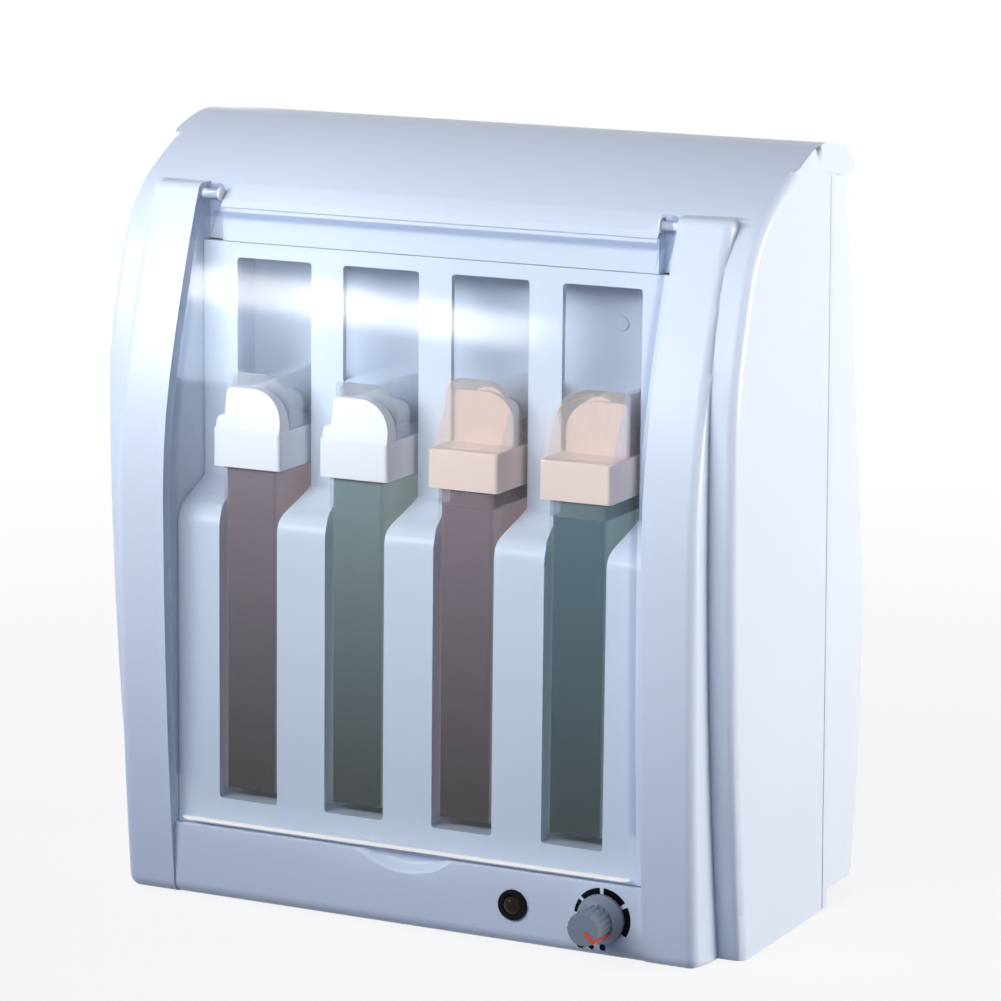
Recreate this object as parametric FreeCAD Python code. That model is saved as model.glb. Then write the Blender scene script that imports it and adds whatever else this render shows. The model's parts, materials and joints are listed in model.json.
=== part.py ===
import FreeCAD, Part
import math
import os

from FreeCAD import Vector

os.makedirs("parts", exist_ok=True)

# Four-bay roll-on wax heater, in millimetres.
# X runs to the right, Y to the back, Z up. While the shapes are made, Y = 0 is the front
# face of the ribs between the bays and Z = 0 is the table. At the end everything moves
# along Y so that the origin is under the middle of the whole object.

# ---- driving dimensions: bays and cartridges ----
bayCount = 4
bayPitch = 45.0
slotHalf = 12.4            # half width of the slot between two ribs
windowHalf = 15.8          # half width of the opening above the ribs
slotFloorZ = 39.8
ribShoulderZ = 149.0       # the slot starts to widen here
windowFootZ = 158.5        # and has its full width here
windowTopZ = 243.6
panelSetBack = 20.0        # upper panel behind the ribs' faces
panelWall = 2.5

bottleWidth = 24.0
bottleDepth = 48.0
bottleFrontY = 1.0
bottleFootZ = 42.5
bottleWall = 1.2
bottleCorner = 3.0
collarWidth = 28.4
collarDepth = 53.0
collarFrontY = -1.5
collarFootZ = 168.0
collarHeight = 14.6
collarSkirt = 10.0         # how far the collar reaches down over the bottle
snapGap = 0.05             # between a head and its bottle, and between wax and bottle
outletWidth = 8.0
outletMargin = 9.0
axleRadius = 1.5
axleFit = 0.05
axleDepth = 1.8
rollerEndGap = 0.3
capWall = 1.0
capSeat = 0.3
waxFloor = 1.0

# ---- driving dimensions: cabinet ----
baySideRoom = 30.5         # from the middle of an outer bay to the rail beside it
railWidth = 21.0
shoulderWidth = 10.0       # cabinet front outside a rail
railInner = (bayCount - 1) / 2 * bayPitch + baySideRoom
bodyHalf = railInner + railWidth + shoulderWidth
wall = 2.5
rimZ = 0.6                 # the cabinet's lower rim; the feet stand below it
shoulderRadius = 4.0
shellFootY = 17.3
# each stretch of a side profile: radius of its arc and the lean at its end, in degrees
shellFootLean = -10.1
shellProfile = [(1112.0, 0.0), (122.6, 16.1), (1000.0, 17.2), (48.5, 55.6), (137.9, 71.8),
                (50.8, 97.0)]
roofRearY = 104.0
tailY = 108.0              # the roof's rear edge turns down to here
tailZ = 284.0
eaveZ = 280.5
eaveRearY = 106.5
seamFootY = 98.0
seamTopY = 89.0
heelRadius = 6.0

lipOut = 0.9               # how far the roof's side edges flare out at the rear
lipIn = 2.8                # how far their slanted faces start inside the cabinet's sides, at the rear
lipStart = 0.4             # and at the front end, where they run out
lipFrontY = 50.0
lipFrontZ = 285.4
lipRearZ = 277.6

railTopZ = 270.8
railEdge = 4.0
railFootY = 1.5
railBelly = -10.5
railBellyZ = 155.0
railLowRadius = 1617.0
railHighRadius = 200.0
railLean = 15.0            # lean where the bend ends and the upper stretch begins
railUpperRadius = 600.0
railBackY = 45.0

apronFrontY = -2.8
sillZ = 28.6
lowerRound = 4.8
recessTopZ = 262.4
headerZ = 249.5            # above this the recess wall belongs to the front housing
recessWallBackY = 25.0
panelClear = 0.3           # bay panel inside the recess
scoopHalf = 20.5
scoopDrop = 7.6
scoopDepth = 4.6
scoopTaper = 3.6           # how much smaller the scoop's floor is than its mouth

# ---- driving dimensions: door ----
hingeY = 20.2
hingeZ = 267.0
pinRadius = 1.8
pinFit = 0.07
pinSeat = 0.1              # between a pin and its boss in the housing
doorHalf = railInner - 2.7
doorStepBack = 0.5         # outer face behind the rails' faces
doorThickness = 2.0
doorFootZ = 31.2
doorHeadZ = 261.2
earWidth = 4.3
earRadius = 4.0
earFootZ = 250.0
notchWidth = 8.6
notchBackY = 25.2
notchTopZ = 271.6

# ---- driving dimensions: rear cover ----
coverInset = 0.8
coverFootZ = 7.0
coverTopZ = 280.0
coverFootY = 131.0
coverLowRadius = 645.0
coverLowRise = 88.0
coverHighRadius = 300.0
coverLean = -10.2
coverCorner = 9.0
ventCount = 12
ventPitch = 13.0
ventWidth = 3.4
ventHeight = 30.0
ventRowsZ = (34.0, 206.0)
glandX = bodyHalf - 43.5
glandZ = 30.0
glandBore = 3.7
screwX = bodyHalf - 15.5
screwRowsZ = (44.0, 238.0)
screwRadius = 1.5
grooveAhead = 4.8          # fine line on the housing's sides, ahead of the seam
grooveWidth = 0.9
grooveDepth = 0.5
sleeveRadius = 5.0

# ---- driving dimensions: controls ----
knobX = railInner - 16.4
knobZ = 15.8
lampX = knobX - 36.1
lampZ = 15.8
lampRadius = 4.6
knobAngle = -42.0          # where the pointer stands at rest, seen from the front
knobRadius = 6.4
skirtRadius = 9.2
knobFaceY = -20.0
knobFootY = -3.6
fluteCount = 18
shaftRadius = 3.0
shaftFit = 0.06

# ---- driving dimensions: inside ----
sheet = 1.2
chamberHalf = railInner - 2.0
chamberBackY = 54.0
chamberFootZ = 149.0
chamberTopZ = 246.0
wellHalf = 12.6
wellBackY = 50.0
wellFootZ = 41.0
footRadius = 6.5
footX = railInner + railWidth / 2
footRowsY = (12.5, 84.0)
lugX = bodyHalf - 10.5
lugRowsY = (36.0, 66.0)
baseZ = 3.0
baseThickness = 2.5
boardThickness = 1.6
cutoutRadius = 8.0         # disc thermostat on the back of the chamber
cutoutZ = (chamberFootZ + chamberTopZ) / 2 + 2.5
seat = 0.3                 # small gap between a piece and what carries it


# ---- helpers ----
def box(x0, x1, y0, y1, z0, z1):
    return Part.makeBox(x1 - x0, y1 - y0, z1 - z0, Vector(x0, y0, z0))


def rodX(radius, x0, x1, y, z):
    return Part.makeCylinder(radius, x1 - x0, Vector(x0, y, z), Vector(1, 0, 0))


def rodY(radius, x, y0, y1, z):
    return Part.makeCylinder(radius, y1 - y0, Vector(x, y0, z), Vector(0, 1, 0))


def rodZ(radius, x, y, z0, z1):
    return Part.makeCylinder(radius, z1 - z0, Vector(x, y, z0))


def side(y, z):
    return Vector(0, y, z)


def front(x, z):
    return Vector(x, 0, z)


def line(a, b):
    return Part.LineSegment(a, b).toShape()


def arc(a, b, c):
    return Part.Arc(a, b, c).toShape()


def leanPoint(start, radius, fromLean, lean):
    """Point on an arc in the YZ plane; lean is 0 where the arc stands upright."""
    a = math.radians(fromLean)
    b = math.radians(lean)
    y = start.y + radius * (math.cos(a) - math.cos(b))
    z = start.z + radius * (math.sin(b) - math.sin(a))
    return side(y, z)


def leaningArcs(start, lean, stretches):
    """Tangent arcs going up from start. Returns the edges, the last point and its lean."""
    edges = []
    here = start
    for radius, endLean in stretches:
        middle = leanPoint(here, radius, lean, (lean + endLean) / 2)
        there = leanPoint(here, radius, lean, endLean)
        edges.append(arc(here, middle, there))
        here = there
        lean = endLean
    return edges, here, lean


def prismX(edges, x0, x1):
    face = Part.Face(Part.Wire(Part.__sortEdges__(edges)))
    face.translate(Vector(x0, 0, 0))
    return face.extrude(Vector(x1 - x0, 0, 0))


def prismY(edges, y0, y1):
    face = Part.Face(Part.Wire(Part.__sortEdges__(edges)))
    face.translate(Vector(0, y0, 0))
    return face.extrude(Vector(0, y1 - y0, 0))


def outline(points):
    return [line(points[i], points[(i + 1) % len(points)]) for i in range(len(points))]


def fuse(shapes):
    result = shapes[0]
    for shape in shapes[1:]:
        result = result.fuse(shape)
    return result.removeSplitter()


def filletWhere(shape, radius, test):
    edges = [edge for edge in shape.Edges if test(edge)]
    return shape.makeFillet(radius, edges)


def mirrored(shape):
    return shape.mirror(Vector(0, 0, 0), Vector(1, 0, 0))


def bothSides(shape):
    return [shape, mirrored(shape)]


def roundedBlock(x0, x1, y0, y1, z0, z1, corner, rim):
    """Box with its upright edges rounded by corner and its upper edges by rim."""
    block = box(x0, x1, y0, y1, z0, z1)
    block = filletWhere(block, corner, lambda e: abs(e.BoundBox.ZLength - (z1 - z0)) < 1e-6)
    if rim > 0:
        block = filletWhere(block, rim, lambda e: e.BoundBox.ZMin > z1 - 1e-6)
    return block


def bayX(index):
    return (index - (bayCount - 1) / 2) * bayPitch


nodes = {}

# ---- side profiles ----
shellEdges, roofStart, roofLean = leaningArcs(side(shellFootY, 0), shellFootLean, shellProfile)
roofFall = math.tan(math.radians(roofLean - 90))
roofRearZ = roofStart.z - (roofRearY - roofStart.y) * roofFall


def seamY(z):
    return seamFootY + (seamTopY - seamFootY) * z / eaveZ


def shellSolid(half, inset):
    """The cabinet without its rails; inset moves every face inwards."""
    arcs = [(radius - inset, lean) for radius, lean in shellProfile]
    foot = side(shellFootY + inset, 0)
    edges, top, _ = leaningArcs(foot, shellFootLean, arcs)
    rear = side(roofRearY - inset, roofRearZ - inset)
    tail = side(tailY - inset, tailZ)
    eave = side(eaveRearY - inset, eaveZ)
    inner = side(seamY(eaveZ), eaveZ)
    heel = side(seamY(rimZ), 0)
    edges += [line(top, rear), line(rear, tail), line(tail, eave)]
    edges += [line(eave, inner), line(inner, heel)]
    edges.append(line(heel, foot))
    return prismX(edges, -half, half)


railKneeZ = railBellyZ + railHighRadius * math.sin(math.radians(railLean))
railKneeY = railBelly + railHighRadius * (1 - math.cos(math.radians(railLean)))


def railY(z):
    """Front of the rails at height z: a long low arc, a bend and a long upper arc."""
    if z < railBellyZ:
        return railBelly + railLowRadius - math.sqrt(railLowRadius**2 - (railBellyZ - z)**2)
    if z < railKneeZ:
        return railBelly + railHighRadius - math.sqrt(railHighRadius**2 - (z - railBellyZ)**2)
    lean = math.radians(railLean)
    sine = math.sin(lean) + (z - railKneeZ) / railUpperRadius
    return railKneeY + railUpperRadius * (math.cos(lean) - math.sqrt(1 - sine * sine))


def railLine(lowZ, highZ, setBack):
    """Arcs along the rails' front between two heights, moved back by setBack."""
    heights = [lowZ] + [z for z in (railBellyZ, railKneeZ) if lowZ < z < highZ] + [highZ]
    edges = []
    for low, high in zip(heights, heights[1:]):
        points = [side(railY(z) + setBack, z) for z in (low, (low + high) / 2, high)]
        edges.append(arc(*points))
    return edges


def railEdges(setBack, footRound, topZ):
    """Front line of a rail from its rounded foot to topZ, moved back by setBack."""
    startZ = rimZ + lowerRound
    edges = railLine(startZ, topZ, setBack)
    start = side(railY(startZ) + setBack, startZ)
    foot = side(start.y + footRound * 0.9, rimZ)
    bend = side(start.y + footRound * 0.28, rimZ + lowerRound * 0.36)
    edges.append(arc(foot, bend, start))
    return edges, foot, side(railY(topZ) + setBack, topZ)


def railSolid(x0, x1, setBack, topZ, backY):
    edges, foot, end = railEdges(setBack, lowerRound, topZ)
    edges += [line(end, side(backY, topZ)), line(side(backY, topZ), side(backY, rimZ))]
    edges.append(line(side(backY, rimZ), foot))
    return prismX(edges, x0, x1)


# ---- front housing ----
def bodyShell():
    body = shellSolid(bodyHalf, 0)
    body = filletWhere(body, shoulderRadius, lambda e: onShoulder(e))
    wide = shellSolid(bodyHalf + lipOut, 0)
    ends = [(lipFrontY, 0.0, lipStart, lipFrontZ), (tailY + 2, lipOut, lipIn, lipRearZ)]
    for turn in (1, -1):
        body = body.cut(lipLoft(ends, turn, lipOver))
        body = body.fuse(lipLoft(ends, turn, lipUnder).common(wide))
    return body


def roofLine(y):
    """Height of the straight rear part of the roof, drawn on to the front."""
    return roofStart.z + (roofRearZ - roofStart.z) * (y - roofStart.y) / (roofRearY - roofStart.y)


def lipUnder(y, out, inward, lowZ):
    """Section of a flared roof edge: its slanted outer face and its eased lower edge."""
    outer = bodyHalf + out
    high = roofLine(y)
    slant = (outer - bodyHalf + inward) / (high - lowZ - 1.6)
    return [(bodyHalf - 9, lowZ), (outer - 1.4, lowZ), (outer - 0.3, lowZ + 0.5), (outer, lowZ + 1.6),
            (bodyHalf - inward - 4 * slant, high + 4), (bodyHalf - 9, high + 4)]


def lipOver(y, out, inward, lowZ):
    """Section of what is cut away outside the slanted face."""
    face = lipUnder(y, out, inward, lowZ)
    return [face[3], face[4], (bodyHalf + 12, face[4][1]), (bodyHalf + 12, face[3][1])]


def lipLoft(ends, turn, section):
    wires = []
    for y, out, inward, lowZ in ends:
        points = [Vector(turn * x, y, z) for x, z in section(y, out, inward, lowZ)]
        wires.append(Part.makePolygon(points + points[:1]))
    return Part.makeLoft(wires, True, True)


def onShoulder(edge):
    middle = edge.CenterOfMass
    if abs(abs(middle.x) - bodyHalf) > 0.01:
        return False
    if middle.z < eaveZ + 0.1 and middle.y > seamTopY - 1:
        return False
    return middle.z > 5 and edge.BoundBox.YMin < eaveRearY - 1


def railOuter():
    rail = railSolid(railInner, railInner + railWidth, 0, railTopZ, railBackY)
    outer = railInner + railWidth

    def rounded(edge):
        middle = edge.CenterOfMass
        onFront = middle.y < railY(middle.z) + 1.5 or middle.z < rimZ + lowerRound
        if abs(middle.x - outer) < 0.01 and middle.y < railBackY - 1:
            return middle.z > rimZ + 0.1 and (onFront or middle.z > railTopZ - 0.01)
        return edge.BoundBox.XLength > railWidth - 0.01 and middle.z > railTopZ - 0.01 and onFront

    return filletWhere(rail, railEdge, rounded)


def apron():
    face = apronFrontY
    foot = side(face + lowerRound * 0.9, rimZ)
    bend = side(face + lowerRound * 0.28, rimZ + lowerRound * 0.36)
    start = side(face, rimZ + lowerRound)
    edges = [arc(foot, bend, start), line(start, side(face, sillZ))]
    edges.append(line(side(face, sillZ), side(wall, sillZ)))
    edges.append(line(side(wall, sillZ), side(wall, sillZ - wall)))
    edges.append(line(side(wall, sillZ - wall), side(face + wall, sillZ - wall)))
    edges.append(line(side(face + wall, sillZ - wall), side(face + wall, start.z)))
    inFoot = side(foot.y + wall, rimZ)
    inBend = side(bend.y + wall * 0.8, bend.z + wall * 0.35)
    edges.append(arc(side(face + wall, start.z), inBend, inFoot))
    edges.append(line(inFoot, foot))
    return prismX(edges, -railInner - 0.5, railInner + 0.5)


def scoop(grow):
    """Dished finger hollow under the door; grow makes the outside of its wall."""
    mouth = (scoopHalf**2 + scoopDrop**2) / (2 * scoopDrop)
    centre = Vector(0, apronFrontY - 1.0, sillZ - scoopDrop + mouth)
    dish = Part.makeCone(mouth + grow + 0.6, mouth - scoopTaper + grow, scoopDepth + 1.0 + grow,
                         centre, Vector(0, 1, 0))
    return filletWhere(dish, 2.0, lambda e: e.CenterOfMass.y > apronFrontY + 2 and e.Length > 50)


def earNotch():
    return box(railInner - notchWidth, railInner, railBelly, notchBackY, headerZ, notchTopZ)


def sideGroove():
    """Fine line on the right side of the housing that follows the seam."""
    lowZ, highZ = rimZ - 1, eaveZ
    near, far = -grooveAhead - grooveWidth / 2, -grooveAhead + grooveWidth / 2
    band = outline([side(seamY(lowZ) + near, lowZ), side(seamY(lowZ) + far, lowZ),
                    side(seamY(highZ) + far, highZ), side(seamY(highZ) + near, highZ)])
    return prismX(band, bodyHalf - grooveDepth, bodyHalf + 1)


def frontHousing():
    shell = bodyShell()
    rails = bothSides(railOuter())
    outer = shell.fuse(rails[0]).fuse(rails[1])
    envelope = outer.copy()
    cavity = shellSolid(bodyHalf - wall, wall)
    hollow = railSolid(railInner + wall, railInner + railWidth - wall, wall,
                       railTopZ - wall, railBackY)
    outer = outer.cut(cavity)
    for shape in bothSides(hollow):
        outer = outer.cut(shape)
    recess = box(-railInner, railInner, railBelly - 5, recessWallBackY, -5, recessTopZ)
    outer = outer.cut(recess)
    for shape in bothSides(earNotch()):
        outer = outer.cut(shape)

    wallEdges, foot, end = railEdges(0.6, lowerRound, railTopZ - wall)
    back = recessWallBackY
    wallEdges += [line(end, side(back, end.z)), line(side(back, end.z), side(back, rimZ))]
    wallEdges.append(line(side(back, rimZ), foot))
    sideWall = prismX(wallEdges, railInner, railInner + wall)
    pieces = [outer] + bothSides(sideWall) + [apron()]
    pieces.append(box(-railInner, railInner, panelSetBack, panelSetBack + wall, headerZ, recessTopZ + wall))
    pieces.append(box(-railInner, railInner, panelSetBack, recessWallBackY + wall,
                      recessTopZ, recessTopZ + wall))
    notchBack = box(railInner - notchWidth - wall, railInner + wall, notchBackY,
                    notchBackY + wall, headerZ, notchTopZ)
    notchCheek = box(railInner - notchWidth - wall, railInner - notchWidth, panelSetBack,
                     notchBackY + wall, headerZ, notchTopZ)
    pinBoss = rodX(4.2, railInner + wall - 0.5, railInner + 7, hingeY, hingeZ)
    for shape in (notchBack, notchCheek, pinBoss):
        pieces += bothSides(shape.common(envelope))
    for y in lugRowsY:
        lug = box(lugX - 6, bodyHalf - wall + 0.5, y - 5, y + 5,
                  baseZ + baseThickness + seat, baseZ + baseThickness + 14)
        pieces += bothSides(lug)
    for z in screwRowsZ:
        back = seamY(z) - seat
        lug = box(screwX - 7, bodyHalf - wall + 0.5, back - 14, back, z - 6, z + 6)
        pieces += bothSides(lug)
    housing = fuse(pieces)

    for shape in bothSides(earNotch()):
        housing = housing.cut(shape)
    pinHole = rodX(pinRadius + pinSeat, railInner - 1, railInner + 6, hingeY, hingeZ)
    screwHoles = []
    for y in lugRowsY:
        screwHoles.append(rodZ(screwRadius, lugX, y, baseZ, baseZ + 13))
    for z in screwRowsZ:
        back = seamY(z)
        screwHoles.append(rodY(screwRadius, screwX, back - 12, back + 1, z))
    for hole in [pinHole] + screwHoles:
        for shape in bothSides(hole):
            housing = housing.cut(shape)
    dish = scoop(1.6).common(box(-40, 40, apronFrontY, 20, 0, sillZ))
    housing = housing.fuse(dish).cut(scoop(0))
    housing = housing.cut(rodY(lampRadius + 0.1, lampX, -20, 5, lampZ))
    housing = housing.cut(rodY(shaftRadius + 0.6, knobX, -20, 5, knobZ))
    for shape in bothSides(sideGroove()):
        housing = housing.cut(shape)
    rim = box(-bodyHalf - 5, bodyHalf + 5, -30, 160, -10, rimZ)
    return housing.cut(rim).removeSplitter()


nodes["front_housing"] = frontHousing()


# ---- bay panel with its ribs, slots and windows ----
def ribEdges(inset, footZ, headZ, backY):
    """Side outline of the ribs and the set-back panel above them."""
    faceY = inset
    kneeZ = ribShoulderZ - 6.0 - inset * 0.5
    crestY = 5.0 + inset * 0.6
    crestZ = ribShoulderZ + 3.2 - inset * 0.9
    panelY = panelSetBack + inset
    rootZ = windowFootZ + 1.0 - inset * 0.9
    edges = [line(side(faceY, footZ), side(faceY, kneeZ))]
    edges.append(arc(side(faceY, kneeZ), side(faceY + 1.15, kneeZ + 5.4 + inset * 0.1), side(crestY, crestZ)))
    edges.append(line(side(crestY, crestZ), side(panelY, rootZ)))
    edges.append(line(side(panelY, rootZ), side(panelY, headZ)))
    edges.append(line(side(panelY, headZ), side(backY, headZ)))
    edges.append(line(side(backY, headZ), side(backY, footZ)))
    edges.append(line(side(backY, footZ), side(faceY, footZ)))
    return edges


def bayOpening(x):
    points = [front(x - slotHalf, slotFloorZ), front(x + slotHalf, slotFloorZ),
              front(x + slotHalf, ribShoulderZ), front(x + windowHalf, windowFootZ),
              front(x + windowHalf, windowTopZ), front(x - windowHalf, windowTopZ),
              front(x - windowHalf, windowFootZ), front(x - slotHalf, ribShoulderZ)]
    cut = prismY(outline(points), -10, 40)

    def corner(edge):
        middle = edge.CenterOfMass
        upright = edge.BoundBox.YLength > 49
        return upright and (middle.z > windowTopZ - 0.01 or middle.z < slotFloorZ + 0.01)

    def flare(edge):
        middle = edge.CenterOfMass
        return edge.BoundBox.YLength > 49 and ribShoulderZ - 0.01 < middle.z < windowFootZ + 0.01

    cut = filletWhere(cut, 1.4, corner)
    return filletWhere(cut, 9.0, flare)


def bayPanel():
    half = railInner - panelClear
    backY = panelSetBack + panelWall
    panel = prismX(ribEdges(0, sillZ + seat, headerZ - seat, backY), -half, half)
    for index in range(bayCount):
        panel = panel.cut(bayOpening(bayX(index)))
    pocketEdges = ribEdges(panelWall, sillZ + seat + panelWall, windowFootZ - 4, backY + 10)
    edgesX = [-half]
    for index in range(bayCount):
        edgesX += [bayX(index) - slotHalf, bayX(index) + slotHalf]
    edgesX.append(half)
    for left, right in zip(edgesX[0::2], edgesX[1::2]):
        pocket = prismX(pocketEdges, left + panelWall, right - panelWall)
        lid = box(left, right, -5, backY + 12, sillZ, ribShoulderZ - 1)
        panel = panel.cut(pocket.common(lid))
    for index in range(bayCount):
        x = bayX(index)
        under = box(x - slotHalf - panelWall - 1, x + slotHalf + panelWall + 1, panelWall,
                    backY + 1, sillZ + seat + panelWall, slotFloorZ - panelWall)
        panel = panel.cut(under)
    return panel.removeSplitter()


nodes["bay_panel"] = bayPanel()


# ---- rear cover ----
def coverSolid(half, inset, frontSlack):
    """Rear cover's outer form; inset moves the back, top and bottom inwards."""
    lowLean = math.degrees(math.asin(coverLowRise / coverLowRadius))
    start = side(coverFootY - inset, coverFootZ + inset)
    edges = []
    here = start
    for radius, fromLean, toLean in ((coverLowRadius, lowLean, 0), (coverHighRadius, 0, coverLean)):
        middle = backPoint(here, radius, fromLean, (fromLean + toLean) / 2)
        there = backPoint(here, radius, fromLean, toLean)
        edges.append(arc(here, middle, there))
        here = there
    topZ = coverTopZ - inset
    top = side(here.y + (topZ - here.z) * math.tan(math.radians(coverLean)), topZ)
    edges.append(line(here, top))
    inner = side(seamY(topZ) - frontSlack, topZ)
    foot = side(seamY(coverFootZ) - frontSlack, coverFootZ + inset)
    edges += [line(top, inner), line(inner, foot), line(foot, start)]
    return prismX(edges, -half, half), here


def backPoint(start, radius, fromLean, lean):
    """Point on an arc that bulges to the back; lean is positive where it leans back."""
    a = math.radians(fromLean)
    b = math.radians(lean)
    return side(start.y + radius * (math.cos(b) - math.cos(a)), start.z + radius * (math.sin(a) - math.sin(b)))


def coverBackY(z):
    """Outer back face of the rear cover at height z."""
    lowLean = math.asin(coverLowRise / coverLowRadius)
    beltZ = coverFootZ + coverLowRise
    beltY = coverFootY + coverLowRadius * (1 - math.cos(lowLean))
    bendZ = beltZ + coverHighRadius * math.sin(math.radians(-coverLean))
    if z < beltZ:
        return beltY - coverLowRadius + math.sqrt(coverLowRadius**2 - (beltZ - z)**2)
    if z < bendZ:
        return beltY - coverHighRadius + math.sqrt(coverHighRadius**2 - (z - beltZ)**2)
    bendY = beltY - coverHighRadius * (1 - math.cos(math.radians(coverLean)))
    return bendY + (z - bendZ) * math.tan(math.radians(coverLean))


glandSeatY = coverBackY(glandZ) + 1.4


def rearCover():
    half = bodyHalf - coverInset
    solid, _ = coverSolid(half, 0, 0)

    def rearCorner(edge):
        middle = edge.CenterOfMass
        if abs(abs(middle.x) - half) > 0.01:
            return False
        return middle.y > 112 and edge.BoundBox.ZLength > 20 and middle.y > coverBackY(middle.z) - 4

    solid = filletWhere(solid, coverCorner, rearCorner)
    cavity, _ = coverSolid(half - wall, wall, 5)
    cavity = filletWhere(cavity, coverCorner - wall, lambda e: innerCorner(e, half - wall))
    cover = solid.cut(cavity)
    tongueEdges = outline([
        side(seamY(20) - 4, 20), side(seamY(20) + 3, 20),
        side(seamY(coverTopZ - 20) + 3, coverTopZ - 20), side(seamY(coverTopZ - 20) - 4, coverTopZ - 20)])
    tongueOut = bodyHalf - wall - seat
    tongue = prismX(tongueEdges, tongueOut - 1.8, tongueOut)
    for z in screwRowsZ:
        tongue = tongue.cut(box(tongueOut - 3, tongueOut + 1, 60, 110, z - 6 - seat, z + 6 + seat))
    link = prismX(outline([
        side(seamY(20) + seat, 20), side(seamY(20) + 3, 20),
        side(seamY(coverTopZ - 20) + 3, coverTopZ - 20), side(seamY(coverTopZ - 20) + seat, coverTopZ - 20)]),
        tongueOut - 1.8, half - 1)
    pieces = [cover] + bothSides(tongue) + bothSides(link)
    for z in screwRowsZ:
        sleeve = rodY(sleeveRadius, screwX, seamY(z), coverBackY(z) - 1, z)
        pieces += bothSides(sleeve)
    boss = rodY(11.0, glandX, coverBackY(glandZ) - wall, glandSeatY, glandZ)
    pieces.append(boss)
    cover = fuse(pieces)
    for z in screwRowsZ:
        bore = rodY(3.9, screwX, seamY(z) + 2.5, coverBackY(z) + 5, z)
        shank = rodY(screwRadius + 0.2, screwX, seamY(z) - 1, seamY(z) + 3, z)
        for shape in bothSides(bore) + bothSides(shank):
            cover = cover.cut(shape)
    cover = cover.cut(rodY(6.0, glandX, 110, 150, glandZ))
    for z in ventRowsZ:
        for index in range(ventCount):
            x = (index - (ventCount - 1) / 2) * ventPitch - 18
            slot = box(x - ventWidth / 2, x + ventWidth / 2, coverBackY(z) - 12, coverBackY(z) + 12,
                       z + ventWidth / 2, z + ventHeight - ventWidth / 2)
            slot = fuse([slot, rodY(ventWidth / 2, x, coverBackY(z) - 12, coverBackY(z) + 12, z + ventWidth / 2),
                         rodY(ventWidth / 2, x, coverBackY(z) - 12, coverBackY(z) + 12,
                              z + ventHeight - ventWidth / 2)])
            cover = cover.cut(slot)
    return cover.removeSplitter()


def innerCorner(edge, half):
    middle = edge.CenterOfMass
    if abs(abs(middle.x) - half) > 0.01:
        return False
    return edge.BoundBox.ZLength > 20 and middle.y > coverBackY(middle.z) - 6


nodes["rear_cover"] = rearCover()


# ---- base plate, feet and screws ----
def basePlate():
    half = bodyHalf - wall - 0.4
    topZ = baseZ + baseThickness
    backY = recessWallBackY + 2 * seat
    plate = box(-half, half, backY, seamY(baseZ) - 3, baseZ, topZ)
    plate = plate.fuse(box(-railInner + 1, railInner - 1, 4.5, backY + 1, baseZ, topZ))
    for shape in bothSides(box(footX - footRadius - 1, footX + footRadius + 1, 5.0, backY + 1, baseZ, topZ)):
        plate = plate.fuse(shape)
    for x in (-66.0, 16.0):
        for y in (66.0, 88.0):
            plate = plate.fuse(rodZ(3.0, x, y, topZ - 0.5, topZ + 6))
    for y in footRowsY:
        for x in (-footX, footX):
            plate = plate.cut(rodZ(3.1, x, y, baseZ - 1, topZ + 1))
    for y in lugRowsY:
        for x in (-lugX, lugX):
            plate = plate.cut(rodZ(screwRadius + 0.2, x, y, baseZ - 1, topZ + 1))
    for index in range(9):
        x = (index - 4) * 14.0
        plate = plate.cut(box(x - 1.6, x + 1.6, 34, 58, baseZ - 1, topZ + 1))
    return plate.removeSplitter()


nodes["base_plate"] = basePlate()


def rubberFeet():
    feet = []
    for y in footRowsY:
        for x in (-footX, footX):
            pad = Part.makeCone(footRadius - 1.2, footRadius, baseZ - 0.05, Vector(x, y, 0))
            stem = rodZ(2.9, x, y, baseZ - 0.5, baseZ + baseThickness + 0.1)
            barb = Part.makeCone(4.0, 2.4, 2.0, Vector(x, y, baseZ + baseThickness + 0.1))
            feet.append(fuse([pad, stem, barb]))
    return Part.makeCompound(feet)


nodes["rubber_feet"] = rubberFeet()


def screw(head, tip, radius, headRadius, direction):
    """Pan-head screw from its seat at head, pointing along direction."""
    length = (tip - head).Length
    shank = Part.makeCylinder(radius, length, head, direction)
    cap = Part.makeCylinder(headRadius, 2.0, head - direction * 2.0, direction)
    cap = filletWhere(cap, 0.9, lambda e: (e.CenterOfMass - head).Length > 1.9 and e.Length > 5)
    slot = Part.makeBox(headRadius * 1.5, 0.9, 0.9)
    slot.translate(Vector(-headRadius * 0.75, -0.45, -0.45))
    if abs(direction.z) < 0.5:
        slot.rotate(Vector(0, 0, 0), Vector(1, 0, 0), 0)
    slot.translate(head - direction * 1.8)
    return shank.fuse(cap).cut(slot)


def baseScrews():
    screws = []
    for y in lugRowsY:
        for x in (-lugX, lugX):
            screws.append(screw(Vector(x, y, baseZ), Vector(x, y, baseZ + 12), screwRadius, 2.9, Vector(0, 0, 1)))
    return Part.makeCompound(screws)


def coverScrews():
    screws = []
    for z in screwRowsZ:
        for x in (-screwX, screwX):
            head = Vector(x, seamY(z) + 2.5, z)
            screws.append(screw(head, head - Vector(0, 13, 0), screwRadius, 2.9, Vector(0, -1, 0)))
    return Part.makeCompound(screws)


nodes["base_screws"] = baseScrews()
nodes["cover_screws"] = coverScrews()


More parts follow.
